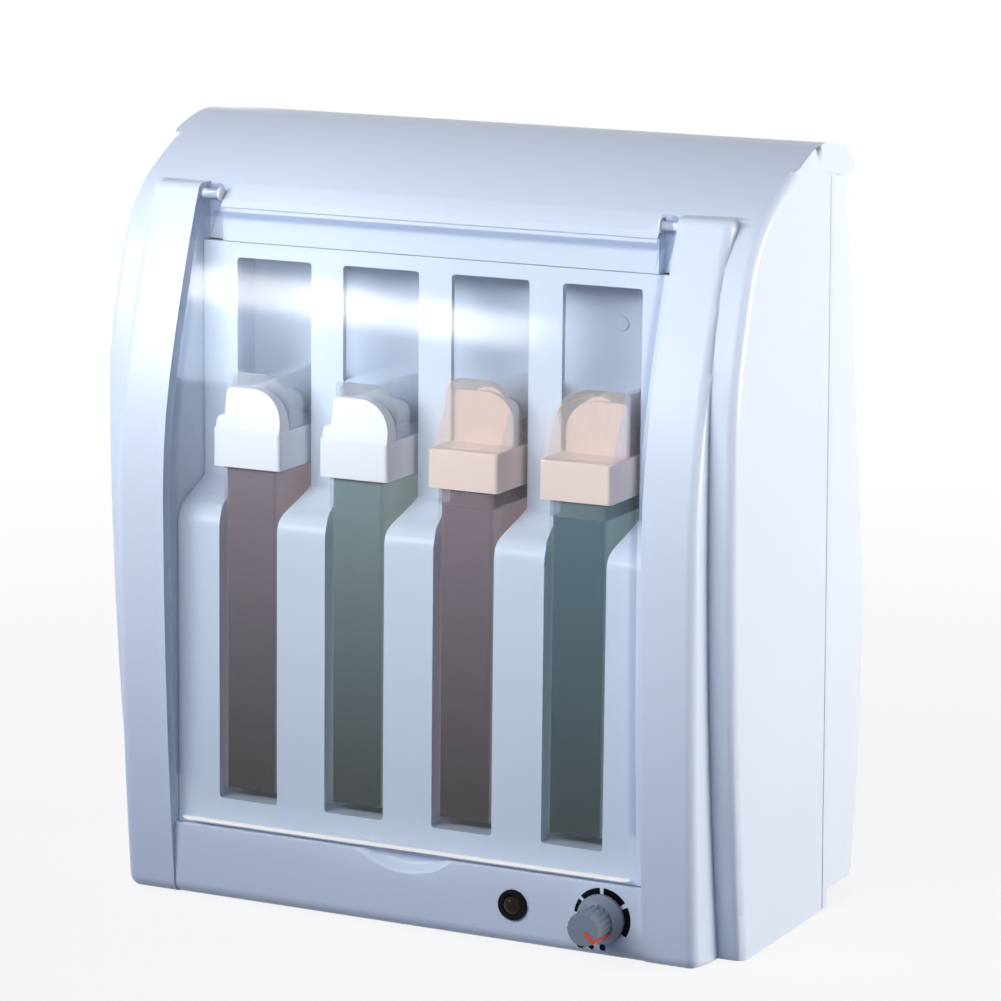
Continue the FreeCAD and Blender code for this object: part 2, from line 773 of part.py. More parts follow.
# ---- heated chamber and wells ----
def heatedChamber():
    frontY = panelSetBack + panelWall + seat
    backY = chamberBackY + sheet
    outer = box(-chamberHalf, chamberHalf, frontY, backY, chamberFootZ, chamberTopZ)
    inner = box(-chamberHalf + sheet, chamberHalf - sheet, frontY - 1, chamberBackY,
                chamberFootZ + sheet, chamberTopZ - sheet)
    chamber = outer.cut(inner)
    for index in range(bayCount):
        x = bayX(index)
        chamber = chamber.cut(box(x - wellHalf - sheet - 0.1, x + wellHalf + sheet + 0.1, frontY - 1,
                                  wellBackY + sheet + 0.1, chamberFootZ - 1, chamberFootZ + sheet + 1))
    for x in (-60.0, 60.0):
        for z in (175.0, 225.0):
            chamber = chamber.cut(rodY(2.0, x, chamberBackY - 1, backY + 1, z))
    return chamber


nodes["heated_chamber"] = heatedChamber()


def warmingWell(x):
    frontY = panelSetBack + panelWall + seat
    topZ = chamberFootZ + sheet
    outer = box(x - wellHalf - sheet, x + wellHalf + sheet, frontY, wellBackY + sheet, wellFootZ, topZ)
    outer = filletWhere(outer, 2.0, lambda e: e.BoundBox.ZLength > 50 and e.CenterOfMass.y > wellBackY)
    inner = box(x - wellHalf, x + wellHalf, frontY - 1, wellBackY, wellFootZ + sheet, topZ + 1)
    inner = filletWhere(inner, 0.8, lambda e: e.BoundBox.ZLength > 50 and e.CenterOfMass.y > wellBackY - 1)
    return outer.cut(inner)


def heatingPad(x):
    y = wellBackY + sheet + 0.05
    pad = roundedBlock(x - 10, x + 10, y, y + 1.6, 60, 132, 0.7, 0)
    lead = box(x - 4, x + 4, y, y + 2.6, 52, 60)
    return pad.fuse(lead).removeSplitter()


for index in range(bayCount):
    nodes["warming_well_%d" % (index + 1)] = warmingWell(bayX(index))
    nodes["heating_pad_%d" % (index + 1)] = heatingPad(bayX(index))


def thermalCutout():
    y = chamberBackY + sheet + 0.05
    disc = rodY(cutoutRadius, 0, y, y + 4, cutoutZ)
    top = rodY(cutoutRadius - 1.5, 0, y + 4, y + 9, cutoutZ)
    earHalf = cutoutRadius / 2
    ears = box(-cutoutRadius - 4, cutoutRadius + 4, y, y + sheet, cutoutZ - earHalf, cutoutZ + earHalf)
    blade = box(2.5, 5.5, y + 8, y + 17, cutoutZ - 0.4, cutoutZ + 0.4)
    return fuse([disc, top, ears] + bothSides(blade))


nodes["thermal_cutout"] = thermalCutout()


def controlBoard():
    z = baseZ + baseThickness + 6 + 0.05
    board = box(-70, 20, 62, 92, z, z + boardThickness)
    for x in (-66.0, 16.0):
        for y in (66.0, 88.0):
            board = board.cut(rodZ(1.4, x, y, z - 1, z + 3))
    return board


def boardParts():
    z = baseZ + baseThickness + 6 + 0.05 + boardThickness + 0.02
    block = roundedBlock(-58, -30, 66, 88, z, z + 20, 1.5, 1.0)
    canister = rodZ(6.3, -18, 80, z, z + 22)
    canister = filletWhere(canister, 1.0, lambda e: e.CenterOfMass.z > z + 21)
    sink = box(-6, 8, 84, 86, z, z + 24)
    for step in range(4):
        sink = sink.fuse(box(-6 + step * 4, -4.8 + step * 4, 86, 90, z, z + 24))
    triac = box(-4, 6, 79.5, 84, z + 4, z + 19)
    plug = box(-8, 12, 65, 73, z, z + 9)
    return Part.makeCompound([block, canister, fuse([sink, triac]), plug])


nodes["control_board"] = controlBoard()
nodes["board_parts"] = boardParts()


def terminalBlock():
    z = baseZ + baseThickness + 0.05
    block = box(50, 82, 72, 86, z, z + 15)
    for index in range(3):
        x = 55.5 + index * 10.5
        block = block.cut(rodZ(2.6, x, 79, z + 6, z + 16))
        block = block.cut(rodY(2.0, x, 70, 77.0, z + 5))
    return block


nodes["terminal_block"] = terminalBlock()


# ---- cord gland in the rear cover ----
def cordGland():
    flange = rodY(8.2, glandX, glandSeatY + 0.05, glandSeatY + 2.6, glandZ)
    flange = filletWhere(flange, 1.0, lambda e: e.CenterOfMass.y > glandSeatY + 2.5 and e.Length > 20)
    barrel = rodY(5.9, glandX, glandSeatY - 12, glandSeatY + 0.5, glandZ)
    barb = Part.makeCone(5.4, 7.4, 3.0, Vector(glandX, glandSeatY - 11, glandZ), Vector(0, 1, 0))
    ring = fuse([flange, barrel, barb])
    return ring.cut(rodY(glandBore, glandX, glandSeatY - 20, glandSeatY + 10, glandZ))


nodes["cord_gland"] = cordGland()


# ---- hinge pins and door ----
def hingePin():
    inner = doorHalf - earWidth
    shank = rodX(pinRadius, inner - 0.4, railInner + 5.8, hingeY, hingeZ)
    head = rodX(2.7, inner - 1.3, inner - 0.4, hingeY, hingeZ)
    head = filletWhere(head, 0.4, lambda e: e.CenterOfMass.x < inner - 1.2 and e.Length > 5)
    return shank.fuse(head)


nodes["hinge_pin_right"] = hingePin()
nodes["hinge_pin_left"] = mirrored(hingePin())


def doorSheet(footZ, headZ, outerBack, innerBack):
    """Closed outline of the curved sheet, between two setbacks from the rails' front."""
    edges = railLine(footZ, headZ, outerBack) + railLine(footZ, headZ, innerBack)
    for z in (footZ, headZ):
        edges.append(line(side(railY(z) + outerBack, z), side(railY(z) + innerBack, z)))
    return edges


def doorPanel():
    inner = doorStepBack + doorThickness
    sheetSolid = prismX(doorSheet(doorFootZ, doorHeadZ, doorStepBack, inner), -doorHalf, doorHalf)

    def corner(edge):
        thick = edge.BoundBox.XLength < 0.01 and edge.Length < doorThickness * 1.3
        return thick and abs(abs(edge.CenterOfMass.x) - doorHalf) < 0.01 and edge.CenterOfMass.z < 40

    sheetSolid = filletWhere(sheetSolid, 5.0, corner)
    earInner = doorHalf - earWidth
    arm = outline([
        side(railY(earFootZ) + doorStepBack, earFootZ), side(railY(earFootZ) + inner, earFootZ),
        side(hingeY + earRadius * 0.72, hingeZ - earRadius * 0.7), side(hingeY, hingeZ + earRadius * 0.99),
        side(hingeY - earRadius * 0.985, hingeZ + 0.6)])
    ear = prismX(arm, earInner, doorHalf).fuse(rodX(earRadius, earInner, doorHalf, hingeY, hingeZ))
    bead = rodX(2.4, -24, 24, railY(34) + doorStepBack + 0.8, doorFootZ + 2.4)
    tips = [Part.makeSphere(2.4, Vector(x, railY(34) + doorStepBack + 0.8, doorFootZ + 2.4)) for x in (-24, 24)]
    bead = fuse([bead] + tips)
    bead = bead.cut(box(-40, 40, railY(31.2) + inner - 0.4, 30, 20, 60))
    door = fuse([sheetSolid, bead] + bothSides(ear))
    hole = rodX(pinRadius + pinFit, earInner - 1, doorHalf + 1, hingeY, hingeZ)
    for shape in bothSides(hole):
        door = door.cut(shape)
    return door.removeSplitter()


nodes["door_panel"] = doorPanel()


# ---- controls ----
def lampHolder():
    face = apronFrontY
    bezel = rodY(lampRadius + 1.2, lampX, face - 1.4, face - 0.05, lampZ)
    bezel = filletWhere(bezel, 0.6, lambda e: e.CenterOfMass.y < face - 1.3 and e.Length > 10)
    barrel = rodY(lampRadius, lampX, face - 0.5, face + 15, lampZ)
    holder = bezel.fuse(barrel)
    holder = holder.cut(rodY(lampRadius - 1.0, lampX, face - 2, face + 12, lampZ))
    pins = fuse([box(lampX - 2.6, lampX - 1.8, face + 14, face + 20, lampZ - 1, lampZ + 1),
                 box(lampX + 1.8, lampX + 2.6, face + 14, face + 20, lampZ - 1, lampZ + 1)])
    return fuse([holder, pins])


def lampLens():
    radius = lampRadius - 1.05
    face = apronFrontY
    stem = rodY(radius, lampX, face - 1.2, face + 9, lampZ)
    bulge = 1.6
    ballRadius = (radius**2 + bulge**2) / (2 * bulge)
    ball = Part.makeSphere(ballRadius, Vector(lampX, face - 1.2 - bulge + ballRadius, lampZ))
    dome = ball.common(rodY(radius, lampX, face - 10, face - 1.2, lampZ))
    return fuse([stem, dome])


nodes["lamp_holder"] = lampHolder()
nodes["lamp_lens"] = lampLens()


def potentiometer():
    backFace = apronFrontY + wall + seat
    bush = rodY(shaftRadius + 0.5, knobX, apronFrontY - 3.0, backFace + 1, knobZ)
    body = rodY(8.5, knobX, backFace, backFace + 9, knobZ)
    tabs = box(knobX - 6, knobX + 6, backFace + 2, backFace + 3, knobZ - 11.6, knobZ)
    pot = fuse([bush, body, tabs])
    return pot.cut(rodY(shaftRadius + shaftFit, knobX, apronFrontY - 6, backFace + 7, knobZ))


def potentiometerNut():
    face = apronFrontY
    points = []
    for corner in range(6):
        angle = math.radians(60 * corner)
        points.append(front(knobX + 5.4 * math.cos(angle), knobZ + 5.4 * math.sin(angle)))
    nut = prismY(outline(points), face - 1.9, face - 0.05)
    return nut.cut(rodY(shaftRadius + 0.55, knobX, face - 5, face + 1, knobZ))


nodes["potentiometer"] = potentiometer()
nodes["potentiometer_nut"] = potentiometerNut()


def atPointer(shape):
    shape.rotate(Vector(knobX, 0, knobZ), Vector(0, 1, 0), -knobAngle)
    return shape


def pointerBar():
    bar = box(knobX + 1.2, knobX + knobRadius + 0.35, knobFaceY - 0.25, knobFaceY + 0.9, knobZ - 0.8, knobZ + 0.8)
    strip = box(knobX + knobRadius - 0.9, knobX + knobRadius + 0.35, knobFaceY - 0.25, knobFaceY + 11.6,
                knobZ - 0.8, knobZ + 0.8)
    return atPointer(bar.fuse(strip).removeSplitter())


def knob():
    grip = rodY(knobRadius, knobX, knobFaceY, knobFootY - 2, knobZ)
    grip = filletWhere(grip, 0.9, lambda e: e.CenterOfMass.y < knobFaceY + 0.1 and e.Length > 20)
    for index in range(fluteCount):
        angle = 2 * math.pi * (index + 0.5) / fluteCount
        x = knobX + (knobRadius + 0.35) * math.cos(angle)
        z = knobZ + (knobRadius + 0.35) * math.sin(angle)
        grip = grip.cut(rodY(0.85, x, knobFaceY - 1, knobFootY - 5, z))
    skirt = Part.makeCone(knobRadius + 0.6, skirtRadius, 3.4, Vector(knobX, knobFootY - 5, knobZ), Vector(0, 1, 0))
    rim = rodY(skirtRadius, knobX, knobFootY - 1.6, knobFootY, knobZ)
    body = fuse([grip, skirt, rim])
    body = body.cut(rodY(skirtRadius - 1.6, knobX, knobFootY - 2.6, knobFootY + 1, knobZ))
    body = body.cut(rodY(shaftRadius, knobX, knobFaceY + 3, knobFootY + 1, knobZ))
    return body.cut(pointerBar())


def knobShaft():
    return rodY(shaftRadius, knobX, knobFaceY + 3, apronFrontY + wall + seat + 6.5, knobZ)


nodes["knob"] = knob()
nodes["knob_pointer"] = pointerBar()
nodes["knob_shaft"] = knobShaft()


# ---- cartridges ----
collarTopZ = collarFootZ + collarHeight
collarRearY = collarFrontY + collarDepth
flushStyle = {
    "wallFrontY": collarFrontY, "wallLean": 3.0, "wallBackY": 6.0,
    "left": -9.6, "right": 14.0, "rearRight": 12.4, "topZ": 197.7, "arc": 13.0, "step": 3.2, "stepZ": 187.4,
    "rollerX": -1.0, "rollerZ": 190.9, "rollerRadius": 7.2,
    "capFrontY": 6.5, "capSlopeY": 6.5, "capLeft": -11.6, "capTopZ": 202.6, "waxZ": 166.6,
}
setBackStyle = {
    "wallFrontY": 16.0, "wallLean": 0.0, "wallBackY": 18.8,
    "left": -12.4, "right": 12.0, "rearRight": 12.0, "topZ": 202.0, "arc": 11.5, "step": 0.0, "stepZ": 0.0,
    "rollerX": 0.0, "rollerZ": 195.4, "rollerRadius": 8.0,
    "capFrontY": 1.0, "capSlopeY": 12.8, "capLeft": -13.7, "capTopZ": 206.8, "waxZ": 161.5,
}
bayStyles = [flushStyle, flushStyle, setBackStyle, setBackStyle]
bayMirror = [1, 1, 1, -1]
rearWallFrontY = collarRearY - 4.6
rearWallBackY = collarRearY - 1.9


def endOutline(x, turn, left, right, footZ, topZ, bend):
    """D-shaped outline seen from the front: one straight side, one rounded."""
    small = 2.2
    ease = 1 - math.sqrt(0.5)

    def at(dx, z):
        return front(x + turn * dx, z)

    return [
        line(at(left, footZ), at(left, topZ - small)),
        arc(at(left, topZ - small), at(left + small * ease, topZ - small * ease), at(left + small, topZ)),
        line(at(left + small, topZ), at(right - bend, topZ)),
        arc(at(right - bend, topZ), at(right - bend * ease, topZ - bend * ease), at(right, topZ - bend)),
        line(at(right, topZ - bend), at(right, footZ)),
        line(at(right, footZ), at(left, footZ)),
    ]


def bottle(x):
    half = bottleWidth / 2
    backY = bottleFrontY + bottleDepth
    topZ = collarFootZ + collarSkirt
    outer = roundedBlock(x - half, x + half, bottleFrontY, backY, bottleFootZ, topZ, bottleCorner, 0)
    outer = filletWhere(outer, 1.5, lambda e: e.BoundBox.ZMax < bottleFootZ + 1e-3)
    inner = roundedBlock(x - half + bottleWall, x + half - bottleWall, bottleFrontY + bottleWall,
                         backY - bottleWall, bottleFootZ + bottleWall, topZ + 1, bottleCorner - bottleWall, 0)
    return outer.cut(inner)


def wax(x, style):
    gap = bottleWall + snapGap
    half = bottleWidth / 2 - gap
    backY = bottleFrontY + bottleDepth - gap
    return roundedBlock(x - half, x + half, bottleFrontY + gap, backY, bottleFootZ + gap,
                        style["waxZ"], bottleCorner - bottleWall, 0)


def endWall(x, turn, style, right, y0, y1):
    edges = endOutline(x, turn, style["left"], right, collarTopZ - 0.5, style["topZ"], style["arc"])
    return prismY(edges, y0, y1)


def head(x, turn, style):
    half = collarWidth / 2
    block = roundedBlock(x - half, x + half, collarFrontY, collarRearY, collarFootZ, collarTopZ, 1.6, 0.5)
    pieces = [block, endWall(x, turn, style, style["rearRight"], rearWallFrontY, rearWallBackY)]
    frontWall = endWall(x, turn, style, style["right"], style["wallFrontY"], style["wallBackY"])
    if style["step"] > 0:
        near = x + turn * style["left"]
        far = x + turn * (style["left"] - style["step"])
        step = box(min(near, far), max(near, far) + 0.5, style["wallFrontY"], style["wallBackY"],
                   collarTopZ - 1, style["stepZ"])
        step = filletWhere(step, 2.4, lambda e: e.BoundBox.YLength > 3 and e.CenterOfMass.z > collarTopZ
                           and abs(e.CenterOfMass.x - far) < 0.01)
        frontWall = frontWall.fuse(step)
    if style["wallLean"] > 0:
        run = style["topZ"] + 1 - collarTopZ
        lean = outline([
            side(collarFrontY - 5, collarTopZ - 0.4), side(collarFrontY, collarTopZ - 0.4),
            side(collarFrontY + style["wallLean"] * run / (style["topZ"] - collarTopZ), style["topZ"] + 1),
            side(collarFrontY - 5, style["topZ"] + 1)])
        frontWall = frontWall.cut(prismX(lean, x - 40, x + 40))
    pieces.append(frontWall)
    lipX = style["rollerRadius"] * 0.55
    ledgeFrontY = max(style["wallBackY"] - 0.5, style["capFrontY"] + capWall + seat)
    for wallX in (-lipX - 1.4, lipX):
        middleX = x + turn * style["rollerX"]
        pieces.append(box(middleX + wallX, middleX + wallX + 1.4, ledgeFrontY, rearWallFrontY + 0.5,
                          collarTopZ - 0.5, collarTopZ + 1.2))
    whole = fuse(pieces)
    socketHalf = bottleWidth / 2 + snapGap
    socket = roundedBlock(x - socketHalf, x + socketHalf, bottleFrontY - snapGap,
                          bottleFrontY + bottleDepth + snapGap, collarFootZ - 1,
                          collarFootZ + collarSkirt + snapGap, bottleCorner + snapGap, 0)
    whole = whole.cut(socket)
    outlet = box(x - outletWidth / 2, x + outletWidth / 2, style["wallBackY"] + 3, rearWallFrontY - 3,
                 collarFootZ, collarTopZ + 2)
    whole = whole.cut(outlet)
    axleX = x + turn * style["rollerX"]
    for y0, y1 in ((style["wallBackY"] - axleDepth - 0.1, style["wallBackY"] + 0.1),
                   (rearWallFrontY - 0.1, rearWallFrontY + axleDepth + 0.1)):
        whole = whole.cut(rodY(axleRadius + axleFit, axleX, y0, y1, style["rollerZ"]))
    return whole.removeSplitter()


def roller(x, turn, style):
    axleX = x + turn * style["rollerX"]
    z = style["rollerZ"]
    y0 = style["wallBackY"] + rollerEndGap
    y1 = rearWallFrontY - rollerEndGap
    if style is flushStyle:
        y0 = style["capFrontY"] + capWall + rollerEndGap
    drum = rodY(style["rollerRadius"], axleX, y0, y1, z)
    drum = filletWhere(drum, 0.8, lambda e: e.Length > 30 and e.BoundBox.YLength < 0.01)
    axle = rodY(axleRadius, axleX, style["wallBackY"] - axleDepth + 0.1, rearWallFrontY + axleDepth - 0.1, z)
    return drum.fuse(axle)


def cap(x, turn, style):
    footZ = collarTopZ + capSeat

    def capSolid(shrink):
        section = endOutline(x, turn, style["capLeft"] + shrink, collarWidth / 2 - 0.2 - shrink,
                             footZ - 2 * shrink, style["capTopZ"] - shrink, 11.5 - shrink)
        solid = prismY(section, style["capFrontY"] + shrink, collarRearY - 0.3 - shrink)
        run = style["capSlopeY"] - style["capFrontY"]
        if run > 0:
            ramp = outline([
                side(style["capFrontY"] + shrink - 3, footZ - 2 * shrink), side(style["capFrontY"] + shrink, footZ),
                side(style["capSlopeY"] + shrink, style["capTopZ"] + 0.5),
                side(style["capFrontY"] + shrink - 3, style["capTopZ"] + 0.5)])
            solid = solid.cut(prismX(ramp, x - 40, x + 40))
        return solid

    shell = capSolid(0).cut(capSolid(capWall))
    if style is flushStyle:
        axleX = x + turn * style["rollerX"]
        gate = axleRadius + 1.0
        shell = shell.cut(box(axleX - gate, axleX + gate, style["capFrontY"] - 1,
                              style["capFrontY"] + capWall + 1, footZ - 1, style["rollerZ"] + gate))
    return shell.removeSplitter()


for index in range(bayCount):
    bay = index + 1
    x = bayX(index)
    style = bayStyles[index]
    turn = bayMirror[index]
    nodes["bottle_%d" % bay] = bottle(x)
    nodes["wax_%d" % bay] = wax(x, style)
    nodes["head_%d" % bay] = head(x, turn, style)
    nodes["roller_%d" % bay] = roller(x, turn, style)
    nodes["cap_%d" % bay] = cap(x, turn, style)

# ---- put the origin under the middle and write the files ----
extents = [shape.optimalBoundingBox() for shape in nodes.values()]
frontmost = min(extent.YMin for extent in extents)
rearmost = max(extent.YMax for extent in extents)
originShift = -(frontmost + rearmost) / 2
print("move along Y: %.4f" % originShift)
print("depth: %.2f" % (rearmost - frontmost))
for name, shape in nodes.items():
    moved = shape.copy()
    moved.translate(Vector(0, originShift, 0))
    if not moved.isValid():
        print("not valid:", name)
    moved.exportStep("parts/%s.step" % name)
print("nodes:", len(nodes))
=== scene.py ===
import bpy
import json
import math
from mathutils import Matrix, Vector

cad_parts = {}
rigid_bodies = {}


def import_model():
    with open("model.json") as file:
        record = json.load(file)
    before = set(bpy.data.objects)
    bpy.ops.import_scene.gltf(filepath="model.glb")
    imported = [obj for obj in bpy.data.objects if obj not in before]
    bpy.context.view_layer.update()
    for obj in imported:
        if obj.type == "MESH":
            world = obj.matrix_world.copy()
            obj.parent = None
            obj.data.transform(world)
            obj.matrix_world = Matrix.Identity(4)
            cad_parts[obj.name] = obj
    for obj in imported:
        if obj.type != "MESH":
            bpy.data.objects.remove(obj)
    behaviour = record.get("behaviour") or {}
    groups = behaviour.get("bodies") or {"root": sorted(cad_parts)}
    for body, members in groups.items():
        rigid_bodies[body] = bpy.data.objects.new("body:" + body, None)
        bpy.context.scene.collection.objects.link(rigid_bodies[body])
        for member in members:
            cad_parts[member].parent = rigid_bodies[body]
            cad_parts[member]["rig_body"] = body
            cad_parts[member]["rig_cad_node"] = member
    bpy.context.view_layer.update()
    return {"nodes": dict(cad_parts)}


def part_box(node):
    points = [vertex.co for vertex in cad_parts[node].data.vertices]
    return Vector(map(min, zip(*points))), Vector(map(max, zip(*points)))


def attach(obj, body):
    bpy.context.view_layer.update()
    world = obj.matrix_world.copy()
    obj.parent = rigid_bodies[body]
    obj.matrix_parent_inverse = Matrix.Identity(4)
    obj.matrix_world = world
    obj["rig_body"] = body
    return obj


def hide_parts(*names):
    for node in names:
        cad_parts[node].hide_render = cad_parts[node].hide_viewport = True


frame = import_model()
nodes = frame["nodes"]

mm = 0.001
mergeGap = 0.01 * mm    # corners closer than this become one


def srgb(hexText):
    parts = [int(hexText[i:i + 2], 16) / 255 for i in (1, 3, 5)]
    red, green, blue = [c / 12.92 if c <= 0.04045 else ((c + 0.055) / 1.055) ** 2.4 for c in parts]
    return (red, green, blue, 1.0)


white = srgb("#FFFFFF")


def addNode(tree, kind, settings=None, links=None):
    # settings go to sockets or to the node itself, links is {input: output socket}
    node = tree.nodes.new(kind)
    for name, value in (settings or {}).items():
        if isinstance(name, int) or name in node.inputs:
            node.inputs[name].default_value = value
        else:
            setattr(node, name, value)
    for name, source in (links or {}).items():
        tree.links.new(source, node.inputs[name])
    return node


def newMaterial(name):
    material = bpy.data.materials.new(name)
    material.use_nodes = True
    tree = material.node_tree
    tree.nodes.clear()
    return material, tree


def deselect():
    if bpy.context.object and bpy.context.object.mode != "OBJECT":
        bpy.ops.object.mode_set(mode="OBJECT")
    bpy.ops.object.select_all(action="DESELECT")


def pick(obj):
    deselect()
    obj.hide_set(False)
    obj.select_set(True)
    bpy.context.view_layer.objects.active = obj


def paint(obj, material):
    obj.data.materials.clear()
    obj.data.materials.append(material)


# what a copied piece gets unless its own line says otherwise: width and steps of its softened edges,
# the angle in degrees past which an edge counts as one, and how flat faces have to lie to be joined
dressLook = {"edge": 0.0, "steps": 2, "angle": 32, "flat": 0.6, "normalWeight": 80}


# a node copied as its own piece: doubles merged, flat parts joined, edges softened
def dressCopy(nodeName, material, slotName, body, **changes):
    look = dict(dressLook, **changes)
    pick(nodes[nodeName])
    bpy.ops.object.duplicate()
    piece = bpy.context.object
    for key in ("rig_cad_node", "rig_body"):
        if key in piece:
            del piece[key]
    piece.parent = None
    piece.name = nodeName + "_dressed"
    pick(piece)
    bpy.ops.object.mode_set(mode="EDIT")
    bpy.ops.mesh.select_all(action="SELECT")
    bpy.ops.mesh.remove_doubles(threshold=mergeGap)
    bpy.ops.mesh.dissolve_limited(angle_limit=math.radians(look["flat"]))
    bpy.ops.object.mode_set(mode="OBJECT")
    if look["edge"] > 0:
        bpy.ops.object.modifier_add(type="BEVEL")
        bevel = piece.modifiers[-1]
        bevel.width = look["edge"]
        bevel.segments = look["steps"]
        bevel.limit_method = "ANGLE"
        bevel.angle_limit = math.radians(look["angle"])
        bpy.ops.object.modifier_apply(modifier=bevel.name)
    bpy.ops.object.shade_smooth_by_angle(angle=math.radians(look["angle"]))
    bpy.ops.object.modifier_add(type="WEIGHTED_NORMAL")
    weighted = piece.modifiers[-1]
    weighted.keep_sharp = True
    weighted.weight = look["normalWeight"]
    bpy.ops.object.modifier_apply(modifier=weighted.name)
    paint(piece, material)
    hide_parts(nodeName)
    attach(piece, body)


finishes = {}

# smooth moulded or powder-coated skin: even colour with broad, hardly visible clouds, a soft gloss,
# and a grain that only breaks highlights, drawn coarser than the real one so that it shows
skinLook = {
    "ior": 1.53, "shine": 0.45, "smoother": 0.03, "rougher": 0.05,
    "grainDetail": 3.0, "grainRoughness": 0.6, "grainDepth": 0.2 * mm,
    "cloudMm": 71.43, "cloudLow": 0.3, "cloudHigh": 0.7, "tintShare": 0.35,
}
smoothSkins = {
    # shell and panel from a polished tool: glossy
    "moulded_abs_housing": {
        "colour": "#DEE8F5", "tint": "#D8E2F0", "roughness": 0.28, "grainMm": 0.6, "grain": 0.02,
    },
    "moulded_abs_panel": {
        "colour": "#DFE9F6", "tint": "#D9E3F1", "roughness": 0.24, "grainMm": 0.6, "grain": 0.02,
    },
    # rear shell from a plainer tool: more matt
    "moulded_abs_cover": {
        "colour": "#E0E9F3", "tint": "#DBE4EF", "roughness": 0.4, "grainMm": 0.5, "grain": 0.05,
    },
    # baked powder: bluish, satin and slightly pebbled
    "powder_coated_aluminium": {
        "colour": "#D2DEF0", "tint": "#CBD8EB", "roughness": 0.42, "grainMm": 0.8, "grain": 0.04,
    },
    # moulded heads, rollers and hinge pins: waxy white, or waxy peach
    "white_polypropylene": {
        "colour": "#FBFBFD", "tint": "#F5F6FA", "roughness": 0.35, "grainMm": 0.5, "grain": 0.03,
    },
    "peach_polypropylene": {
        "colour": "#FBE3D6", "tint": "#F7DACC", "roughness": 0.35, "grainMm": 0.5, "grain": 0.03,
    },
}


def smoothSkin(name, look):
    material, tree = newMaterial(name)
    coords = addNode(tree, "ShaderNodeTexCoord")
    fine = addNode(tree, "ShaderNodeTexNoise",
                   {"Scale": 1 / (look["grainMm"] * mm), "Detail": skinLook["grainDetail"],
                    "Roughness": skinLook["grainRoughness"]},
                   {"Vector": coords.outputs["Object"]})
    broad = addNode(tree, "ShaderNodeTexNoise", {"Scale": 1 / (skinLook["cloudMm"] * mm)},
                    {"Vector": coords.outputs["Object"]})
    share = addNode(tree, "ShaderNodeMapRange",
                    {"From Min": skinLook["cloudLow"], "From Max": skinLook["cloudHigh"],
                     "To Max": skinLook["tintShare"]},
                    {"Value": broad.outputs["Fac"]})
    # inputs 6 and 7 are the two colours, output 2 is their mixture
    shade = addNode(tree, "ShaderNodeMix",
                    {"data_type": "RGBA", 6: srgb(look["colour"]), 7: srgb(look["tint"])},
                    {0: share.outputs["Result"]})
    rough = addNode(tree, "ShaderNodeMapRange",
                    {"To Min": look["roughness"] - skinLook["smoother"],
                     "To Max": look["roughness"] + skinLook["rougher"]},
                    {"Value": fine.outputs["Fac"]})
    bump = addNode(tree, "ShaderNodeBump", {"Strength": look["grain"], "Distance": skinLook["grainDepth"]},
                   {"Height": fine.outputs["Fac"]})
    shader = addNode(tree, "ShaderNodeBsdfPrincipled",
                     {"IOR": skinLook["ior"], "Specular IOR Level": skinLook["shine"]},
                     {"Base Color": shade.outputs[2], "Roughness": rough.outputs["Result"],
                      "Normal": bump.outputs["Normal"]})
    addNode(tree, "ShaderNodeOutputMaterial", None, {"Surface": shader.outputs["BSDF"]})
    return material


for name, look in smoothSkins.items():
    finishes[name] = smoothSkin(name, look)

# plain dark, coloured or soft mouldings: a matt skin whose fine grain may mix in a second tone,
# drawn coarser than the real one so that it shows
mattLook = {"ior": 1.5, "shine": 0.5, "grainMm": 0.35, "grain": 0.12, "grainDepth": 0.2 * mm}
mattMouldings = {
    # cast silicone: flat and rubbery
    "silicone_heating_mat": {
        "colour": "#C9602E", "fleck": "#B9511F", "roughness": 0.6, "grainMm": 0.8, "grain": 0.25,
    },
    # pressed phenolic: brown and dull
    "phenolic_moulding": {"colour": "#3A2A20", "roughness": 0.5},
    # etched tool: an even, coarse grain
    "grained_abs_base": {
        "colour": "#C8CCD3", "fleck": "#C1C6CE", "roughness": 0.5, "grainMm": 0.4, "grain": 0.2,
    },
    # solder mask over glass cloth: green with the weave just showing
    "masked_laminate": {
        "colour": "#1F6B3C", "fleck": "#195C33", "roughness": 0.4, "grainMm": 1.5, "grain": 0.08,
    },
    # transfer-moulded cases: near black and matt
    "moulded_components": {"colour": "#26272B", "roughness": 0.45},
    # moulded nylon, cream or black: a dull sheen
    "cream_nylon": {"colour": "#DCD6C0", "roughness": 0.5},
    "black_nylon": {"colour": "#141416", "roughness": 0.5},
    # pressed rubber: black, the dullest of all
    "moulded_rubber": {"colour": "#1C1D20", "roughness": 0.75, "grainMm": 0.5, "grain": 0.3},
    # knob and its insert from polished tools: a satin sheen
    "grey_abs_knob": {
        "colour": "#8A95A2", "fleck": "#838E9B", "roughness": 0.38, "grainMm": 0.3, "grain": 0.06,
    },
    "orange_insert": {"colour": "#EE5A38", "roughness": 0.4, "grainMm": 0.4, "grain": 0.05},
    # lamp: a black ring that mirrors little, and a lens so dark that its red hardly shows
    "black_bezel": {"colour": "#040406", "roughness": 0.4, "grainMm": 0.4, "grain": 0.04, "shine": 0.12},
    "dark_red_lens": {
        "colour": "#2C0709", "fleck": "#200506", "roughness": 0.15, "grainMm": 3.0, "grain": 0.02,
        "shine": 0.2,
    },
    # pad-printed ink: black and flat
    "pad_printed_ink": {"colour": "#050609", "roughness": 0.5, "grainMm": 0.4, "grain": 0.02, "shine": 0.08},
}


